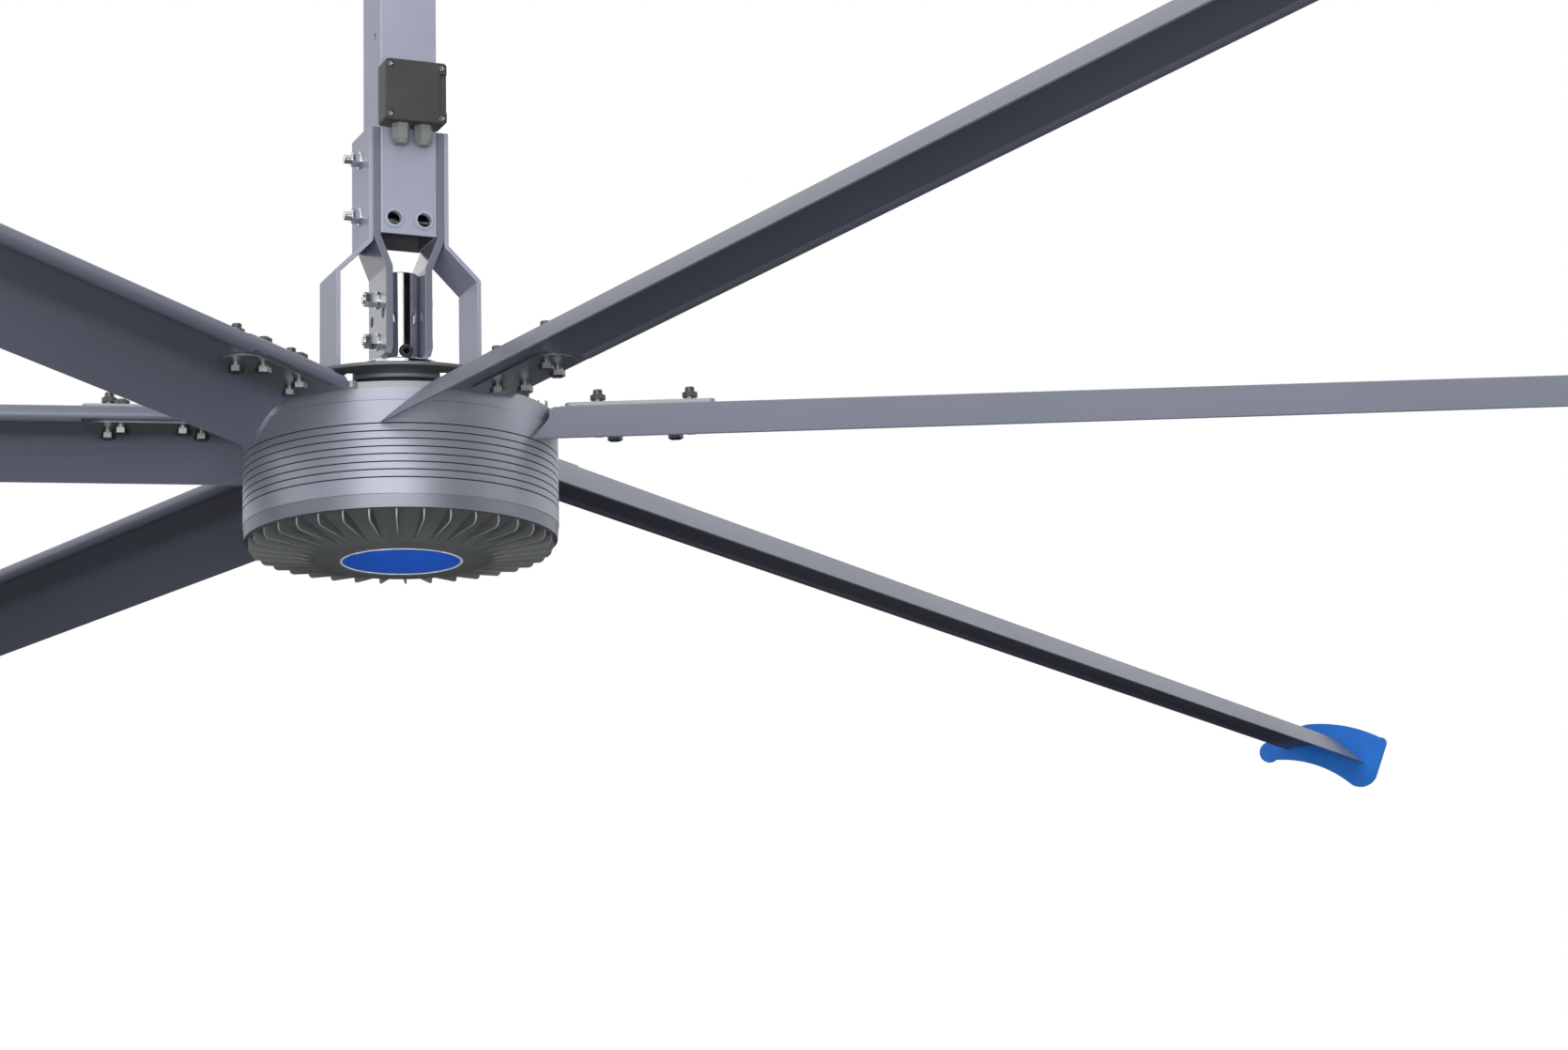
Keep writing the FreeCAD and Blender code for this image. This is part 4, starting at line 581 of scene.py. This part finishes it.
def weld_bead(sizes, material):
    """Rippled bead that runs round the tube, under the ceiling plate."""
    half, _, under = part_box("drop_tube")[1]
    straight = half - sizes.tube_corner
    steps = 2 * round(2 * straight / sizes.weld_pitch)
    advance = 2 * straight / steps
    corner_turn = Matrix.Rotation(QUARTER_TURN / BEAD_CORNER_STEPS, 3, "Z")
    shape = bmesh.new()
    upright = Matrix.Translation((half, -straight, under)) @ Matrix.Rotation(QUARTER_TURN, 4, "X")
    start = bmesh.ops.create_circle(shape, segments=BEAD_SIDES, radius=sizes.weld, matrix=upright)["verts"]
    ring = list({edge for vert in start for edge in vert.link_edges})
    for side in range(TUBE_SIDES):
        facing = Matrix.Rotation(side * QUARTER_TURN, 3, "Z")
        heading = facing @ Vector((0.0, advance, 0.0))
        corner = facing @ Vector((straight, straight, under))
        for step in range(steps):
            ripple = BEAD_NECK if step % 2 == 0 else 1.0 / BEAD_NECK
            ring, verts = grown_ring(shape, ring)
            bmesh.ops.translate(shape, verts=verts, vec=heading)
            middle = sum((vert.co for vert in verts), Vector()) / len(verts)
            bmesh.ops.scale(shape, verts=verts, vec=(ripple,) * 3, space=Matrix.Translation(-middle))
        for _ in range(BEAD_CORNER_STEPS):
            ring, verts = grown_ring(shape, ring)
            bmesh.ops.rotate(shape, verts=verts, cent=corner, matrix=corner_turn)
    bmesh.ops.remove_doubles(shape, verts=shape.verts, dist=BEAD_MERGE)
    bmesh.ops.recalc_face_normals(shape, faces=shape.faces)
    bead = finished(shape, "tube_weld", material)
    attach(bead, BODY_OF["drop_tube"])


class Softbox(NamedTuple):
    """A lamp of the studio, in metres, watts and degrees."""

    name: str
    place: tuple
    aim: tuple
    width: float
    height: float
    power: float
    spread: float = 180.0


class DarkCard(NamedTuple):
    """A felt card that only reflections show, in metres."""

    name: str
    place: tuple
    aim: tuple
    width: float
    height: float


SOFTBOXES = (
    Softbox("overhead_softbox", (-0.6, -1.2, 5.0), (0.0, 0.0, -1.0), width=12.0, height=12.0, power=140.0),
    Softbox("key_softbox", (-4.2, -7.5, 1.2), (0.0, 0.0, -0.9), width=7.0, height=6.0, power=120.0),
    Softbox("right_softbox", (7.5, -5.0, -1.6), (0.0, 0.0, -0.9), width=5.0, height=3.0, power=190.0),
    Softbox("front_softbox", (-3.2, -7.3, -2.9), (-0.6, 0.0, -0.95), width=10.0, height=1.6, power=540.0),
    Softbox(
        "hub_softbox", (-0.35, -1.1, -3.3), (0.0, 0.0, -1.05), width=0.25, height=0.25, power=0.17,
        spread=9.0,
    ),
)
DARK_CARDS = (
    DarkCard("rear_card", (3.5, 8.3, -2.4), (0.0, 0.0, -2.4), width=22.0, height=2.4),
    DarkCard("right_card", (6.0, -5.2, 1.2), (0.0, 0.0, 1.2), width=6.0, height=7.4),
    DarkCard("narrow_card", (1.6, -5.8, 0.0), (0.0, 0.0, -0.6), width=2.8, height=6.0),
)


def aimed(item):
    """Place of a softbox or card that looks at its aim."""
    facing = (Vector(item.aim) - Vector(item.place)).to_track_quat("-Z", "Y")
    return Matrix.Translation(item.place) @ facing.to_matrix().to_4x4()


def add_camera(context, stage):
    camera = bpy.data.objects.new("photo_camera", bpy.data.cameras.new("photo_camera"))
    camera.data.sensor_fit = "HORIZONTAL"
    camera.data.sensor_width = stage.sensor
    camera.data.lens = stage.lens
    camera.data.clip_start = CLIP_NEAR
    camera.data.clip_end = CLIP_FAR
    heading = Matrix.Rotation(-stage.heading, 4, "Z")
    tilt = Matrix.Rotation(QUARTER_TURN + stage.pitch, 4, "X")
    roll = Matrix.Rotation(stage.roll, 4, "Z")
    camera.matrix_world = Matrix.Translation(stage.eye) @ heading @ tilt @ roll
    context.scene.camera = link(context, camera)


def add_room(context, stage):
    """World that shows white and lights the fan with the ambient strength."""
    world = bpy.data.worlds.new("white_room")
    world.use_nodes = True
    room = Finish(world.node_tree)
    shown = room.ray("Camera") | room.ray("Glossy") | room.ray("Transmission")
    strength = stage.ambient + (1.0 - stage.ambient) * shown
    light = room.node("ShaderNodeBackground", inputs={"Color": (1, 1, 1, 1), "Strength": strength})
    room.node("ShaderNodeOutputWorld", inputs={"Surface": light})
    context.scene.world = world


def flat_sheet(context, name, width, height, place):
    """Rectangle of the studio, with its place in its mesh."""
    shape = bmesh.new()
    bmesh.ops.create_grid(shape, x_segments=1, y_segments=1, size=0.5)
    bmesh.ops.scale(shape, verts=shape.verts, vec=(width, height, 1.0))
    bmesh.ops.transform(shape, verts=shape.verts, matrix=place)
    mesh = bpy.data.meshes.new(name)
    shape.to_mesh(mesh)
    shape.free()
    return link(context, bpy.data.objects.new(name, mesh))


def add_floor(context, stage):
    """Floor that shows pale to the camera, lights the fan little and is clear from below."""
    level = Matrix.Translation((0, 0, stage.floor_level))
    floor = flat_sheet(context, "studio_floor", stage.floor_side, stage.floor_side, level)
    material, finish = new_finish("floor_paint")
    cloud = finish.noise(finish.place(), scale=0.6, detail=3.0)
    shade = stage.floor_colour
    pale = finish.blend(cloud, rgba(shade, FLOOR_SEEN_LOW), rgba(shade, FLOOR_SEEN_HIGH))
    seen = finish.ray("Camera") | finish.ray("Transmission")
    base = finish.blend(seen, rgba(shade, FLOOR_BOUNCE), pale)
    upper = finish.node("ShaderNodeBsdfDiffuse", inputs={"Color": base})
    strength = stage.floor_glow * seen
    glow = finish.node("ShaderNodeEmission", inputs={"Color": rgba(shade), "Strength": strength})
    lit = finish.node("ShaderNodeAddShader", inputs={0: upper, 1: glow})
    clear = finish.node("ShaderNodeBsdfTransparent")
    under = finish.node("ShaderNodeNewGeometry", output="Backfacing")
    mixed = finish.node("ShaderNodeMixShader", inputs={0: under, 1: lit, 2: clear})
    finish.node("ShaderNodeOutputMaterial", inputs={"Surface": mixed})
    floor.data.materials.append(material)


def add_softbox(context, softbox):
    lamp = bpy.data.lights.new(softbox.name, "AREA")
    lamp.shape = "RECTANGLE"
    lamp.size = softbox.width
    lamp.size_y = softbox.height
    lamp.energy = softbox.power
    lamp.spread = math.radians(softbox.spread)
    placed = link(context, bpy.data.objects.new(softbox.name, lamp))
    placed.matrix_world = aimed(softbox)
    placed.visible_camera = False


def add_dark_card(context, dark_card):
    card = flat_sheet(context, dark_card.name, dark_card.width, dark_card.height, aimed(dark_card))
    material, finish = new_finish(dark_card.name + "_felt")
    nap = finish.noise(finish.place(), scale=40.0)
    felt = finish.node(
        "ShaderNodeBsdfDiffuse", inputs={"Color": finish.blend(nap, rgba(FELT_DARK), rgba(FELT_PALE))}
    )
    finish.node("ShaderNodeOutputMaterial", inputs={"Surface": felt})
    card.data.materials.append(material)
    card.visible_camera = False
    card.visible_shadow = False
    card.visible_diffuse = False


class FAN_OT_stage(bpy.types.Operator):
    """Set up the camera, the studio light, the dark cards and the floor"""

    bl_idname = "fan.stage"
    bl_label = "Studio"

    def execute(self, context):
        stage = context.scene.fan_stage
        context.scene.view_settings.view_transform = "Standard"
        add_camera(context, stage)
        add_room(context, stage)
        add_floor(context, stage)
        for softbox in SOFTBOXES:
            add_softbox(context, softbox)
        for dark_card in DARK_CARDS:
            add_dark_card(context, dark_card)
        return {"FINISHED"}


class FAN_OT_hanger(bpy.types.Operator):
    """Finish the ceiling plate, the drop tube with its weld, and the grommets"""

    bl_idname = "fan.hanger"
    bl_label = "Hanger"

    def execute(self, context):
        colours, sizes = context.scene.fan_colours, context.scene.fan_sizes
        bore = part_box("drop_tube")[1][0] - sizes.tube_wall
        # The tube's inside gets painted shade.
        paint = painted(
            "tube_paint", colours.hanger, roughness=0.44, inside=(bore + BORE_SHADE_DEPTH, colours.bore),
            **HANGER_PAINT,
        )
        soften(paint, sizes.steel_edge, "ceiling_plate", "drop_tube")
        weld_bead(sizes, paint)
        dress(moulded("grommet_rubber", colours.hanger, roughness=0.5, grain=900.0), "cable_grommets")
        return {"FINISHED"}


class FAN_OT_yoke(bpy.types.Operator):
    """Finish the four bent plates of the yoke"""

    bl_idname = "fan.yoke"
    bl_label = "Yoke"

    def execute(self, context):
        colours, sizes = context.scene.fan_colours, context.scene.fan_sizes
        satin = painted("yoke_paint", colours.hanger, roughness=0.44, **HANGER_PAINT)
        soften(satin, sizes.steel_edge, "outer_bracket_right", "outer_bracket_left")
        gloss = painted("inner_yoke_paint", colours.inner_yoke, roughness=0.38, coat=1.0, **HANGER_PAINT)
        soften(gloss, sizes.steel_edge, "inner_bracket_right", "inner_bracket_left")
        return {"FINISHED"}


class FAN_OT_junction_box(bpy.types.Operator):
    """Finish the junction box, its gasket and its terminal block"""

    bl_idname = "fan.junction_box"
    bl_label = "Junction box"

    def execute(self, context):
        colours, sizes = context.scene.fan_colours, context.scene.fan_sizes
        plastic = moulded("box_plastic", colours.box, roughness=0.5, grain=1400.0)
        soften(plastic, sizes.plastic_edge, "box_base")
        dress(plastic, "box_lid")
        dress(moulded("gasket_rubber", colours.rubber, roughness=0.6, grain=900.0), "box_gasket")
        dress(moulded("terminal_plastic", colours.gland, roughness=0.45, grain=1100.0), "terminal_block")
        return {"FINISHED"}


class FAN_OT_glands(bpy.types.Operator):
    """Finish the cable glands under the junction box"""

    bl_idname = "fan.glands"
    bl_label = "Cable glands"

    def execute(self, context):
        plastic = moulded("gland_plastic", context.scene.fan_colours.gland, roughness=0.4, grain=1100.0)
        dress(plastic, "gland_bodies", "gland_caps", "gland_locknuts")
        return {"FINISHED"}


class FAN_OT_shaft(bpy.types.Operator):
    """Finish the shaft, what sits on it, and the support disc"""

    bl_idname = "fan.shaft"
    bl_label = "Shaft and disc"

    def execute(self, context):
        colours, sizes = context.scene.fan_colours, context.scene.fan_sizes
        steel = polished("shaft_steel", colours.shaft, roughness=0.10)
        dress(steel, "motor_shaft", "shaft_collar", "shaft_spacer", "shaft_circlip")
        rubber = moulded("bush_rubber", colours.rubber, roughness=0.6, grain=900.0)
        dress(rubber, "cable_bush", "shaft_seal")
        paint = painted(
            "disc_paint", colours.disc, roughness=0.38, grain=600.0, grain_depth=0.03 * MILLIMETRE,
            metallic=0.4,
        )
        soften(paint, sizes.steel_edge, "support_disc")
        return {"FINISHED"}


class FAN_OT_motor_shell(bpy.types.Operator):
    """Finish the grooved motor shell"""

    bl_idname = "fan.motor_shell"
    bl_label = "Motor shell"

    def execute(self, context):
        colours, sizes = context.scene.fan_colours, context.scene.fan_sizes
        # The shell gets painted shade in its grooves and on its lip.
        metal = streaked(
            "shell_metal", colours.shell, roughness=0.40, stretch_by=(3, 3, 2600), metallic=0.65,
            contrast=0.035, lip=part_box("rotor_shell")[0][2] + sizes.shell_lip_shade,
        )
        dress(metal, "rotor_shell")
        return {"FINISHED"}


class FAN_OT_motor_inside(bpy.types.Operator):
    """Finish the stator, the magnets and the bearings"""

    bl_idname = "fan.motor_inside"
    bl_label = "Motor inside"

    def execute(self, context):
        colours = context.scene.fan_colours
        steel = polished("bearing_steel", colours.shaft, roughness=0.16)
        for level in ("upper", "lower"):
            dress(steel, f"bearing_inner_{level}", f"bearing_outer_{level}", f"bearing_cage_{level}")
        sheets = streaked("stator_sheets", colours.iron, roughness=0.5, stretch_by=(4, 4, 2000))
        dress(sheets, "stator_core")
        nickel = painted(
            "magnet_plating", colours.magnet, roughness=0.35, grain=900.0, grain_depth=0.03 * MILLIMETRE,
            metallic=0.9,
        )
        dress(nickel, "rotor_magnets")
        copper = streaked(
            "winding_copper", colours.copper, roughness=0.35, stretch_by=(4, 4, 900), metallic=0.8
        )
        dress(copper, "stator_coils")
        return {"FINISHED"}


class FAN_OT_bottom_cover(bpy.types.Operator):
    """Finish the ribbed bottom cover and its plain badge"""

    bl_idname = "fan.bottom_cover"
    bl_label = "Bottom cover"

    def execute(self, context):
        colours, sizes = context.scene.fan_colours, context.scene.fan_sizes
        # The cover gets painted shade between its ribs and a painted highlight on their edges and crests.
        paint = painted(
            "cover_paint", colours.cover, roughness=0.5, grain=900.0, grain_depth=0.08 * MILLIMETRE,
            metallic=0.2, wear_and_highlight=0.9, painted_shade=0.8, painted_shade_reach=18.0 * MILLIMETRE,
            crest=(sizes.crest_highlight_width, sizes.crest_highlight_start, colours.crest),
        )
        soften(paint, sizes.cover_edge, "bottom_cover")
        dress(moulded("badge_enamel", colours.badge, roughness=0.35, grain=500.0), "badge_disc")
        dress(moulded("badge_rim", colours.bezel, roughness=0.3, grain=500.0, coat=0.5), "badge_bezel")
        return {"FINISHED"}


class FAN_OT_spider(bpy.types.Operator):
    """Finish the six-armed spider and the clamp plates on the blade roots"""

    bl_idname = "fan.spider"
    bl_label = "Spider and clamp plates"

    def execute(self, context):
        colours, sizes = context.scene.fan_colours, context.scene.fan_sizes
        metal = painted(
            "spider_metal", colours.spider, roughness=0.42, grain=500.0, grain_depth=0.05 * MILLIMETRE,
            metallic=0.4, wear_and_highlight=0.3,
        )
        soften(metal, sizes.plate_edge, "hub_spider", "upper_plates")
        steel = painted(
            "clamp_steel", colours.clamp_plate, roughness=0.36, grain=500.0, grain_depth=0.04 * MILLIMETRE,
            metallic=0.5, wear_and_highlight=0.5,
        )
        soften(steel, sizes.plate_edge, "lower_plates")
        return {"FINISHED"}


class FAN_OT_blades(bpy.types.Operator):
    """Finish the six blades, each with its drawn lines along its own length"""

    bl_idname = "fan.blades"
    bl_label = "Blades"

    def execute(self, context):
        colours = context.scene.fan_colours
        for number in BLADE_NUMBERS:
            turn = BLADE_ONE - math.tau * (number - 1) / len(BLADE_NUMBERS)
            metal = streaked(
                f"blade_metal_{number}", colours.blade, roughness=0.42, stretch_by=(1.2, 500, 500),
                turn=(0, 0, turn), metallic=0.2, contrast=0.05, gloss=0.25,
            )
            dress(metal, f"blade_{number}")
        return {"FINISHED"}


class FAN_OT_tip_caps(bpy.types.Operator):
    """Finish the moulded caps on the blade tips"""

    bl_idname = "fan.tip_caps"
    bl_label = "Tip caps"

    def execute(self, context):
        colours, sizes = context.scene.fan_colours, context.scene.fan_sizes
        plastic = moulded("cap_plastic", colours.cap, roughness=0.42, grain=800.0)
        soften(plastic, sizes.plastic_edge, *[f"tip_cap_{number}" for number in BLADE_NUMBERS])
        return {"FINISHED"}


class FAN_OT_fasteners(bpy.types.Operator):
    """Finish the bolts with their threads, the nuts, washers, spacers and screws"""

    bl_idname = "fan.fasteners"
    bl_label = "Fasteners"

    def execute(self, context):
        colours, sizes = context.scene.fan_colours, context.scene.fan_sizes
        bright = polished("bright_plating", colours.hardware, roughness=0.22)
        soften(bright, sizes.bolt_edge, "tube_bolts", "clamp_bolts", "foot_bolts", "hub_bolts", "box_screws")
        # Blade bolts and spacers: dull plating, darkened further as painted shade.
        dull = polished("dull_shaded_plating", colours.dull_shaded_hardware, roughness=0.36)
        soften(dull, sizes.bolt_edge, "blade_bolts", "blade_spacers")
        # Blade nuts: near black as a painted reflection.
        dark = polished("dark_reflection_plating", colours.dark_reflection_hardware, roughness=0.28)
        soften(dark, sizes.bolt_edge, "blade_nuts")
        soften(bright, sizes.nut_edge, "tube_nuts", "clamp_nuts")
        add_threads("tube_bolts", sizes.tube_thread, sizes, bright)
        add_threads("blade_bolts", sizes.blade_thread, sizes, dull)
        return {"FINISHED"}


class FAN_PT_panel(bpy.types.Panel):
    """Lists the fan's pieces, colours, sizes and studio"""

    bl_label = "Fan"
    bl_idname = "FAN_PT_panel"
    bl_space_type = "VIEW_3D"
    bl_region_type = "UI"
    bl_category = "Fan"

    def draw(self, context):
        for operator in OPERATORS:
            self.layout.operator(operator.bl_idname)
        for group in (context.scene.fan_colours, context.scene.fan_sizes, context.scene.fan_stage):
            for name in group.__annotations__:
                self.layout.prop(group, name)


OPERATORS = (
    FAN_OT_stage,
    FAN_OT_hanger,
    FAN_OT_yoke,
    FAN_OT_junction_box,
    FAN_OT_glands,
    FAN_OT_shaft,
    FAN_OT_motor_shell,
    FAN_OT_motor_inside,
    FAN_OT_bottom_cover,
    FAN_OT_spider,
    FAN_OT_blades,
    FAN_OT_tip_caps,
    FAN_OT_fasteners,
)
GROUPS = (FanColours, FanSizes, FanStage)
CLASSES = GROUPS + OPERATORS + (FAN_PT_panel,)


def register():
    for item in CLASSES:
        bpy.utils.register_class(item)
    bpy.types.Scene.fan_colours = PointerProperty(type=FanColours)
    bpy.types.Scene.fan_sizes = PointerProperty(type=FanSizes)
    bpy.types.Scene.fan_stage = PointerProperty(type=FanStage)


def unregister():
    del bpy.types.Scene.fan_stage
    del bpy.types.Scene.fan_sizes
    del bpy.types.Scene.fan_colours
    for item in reversed(CLASSES):
        bpy.utils.unregister_class(item)


def main():
    register()
    bpy.ops.fan.stage()
    bpy.ops.fan.hanger()
    bpy.ops.fan.yoke()
    bpy.ops.fan.junction_box()
    bpy.ops.fan.glands()
    bpy.ops.fan.shaft()
    bpy.ops.fan.motor_shell()
    bpy.ops.fan.motor_inside()
    bpy.ops.fan.bottom_cover()
    bpy.ops.fan.spider()
    bpy.ops.fan.blades()
    bpy.ops.fan.tip_caps()
    bpy.ops.fan.fasteners()


if __name__ == "__main__":
    main()
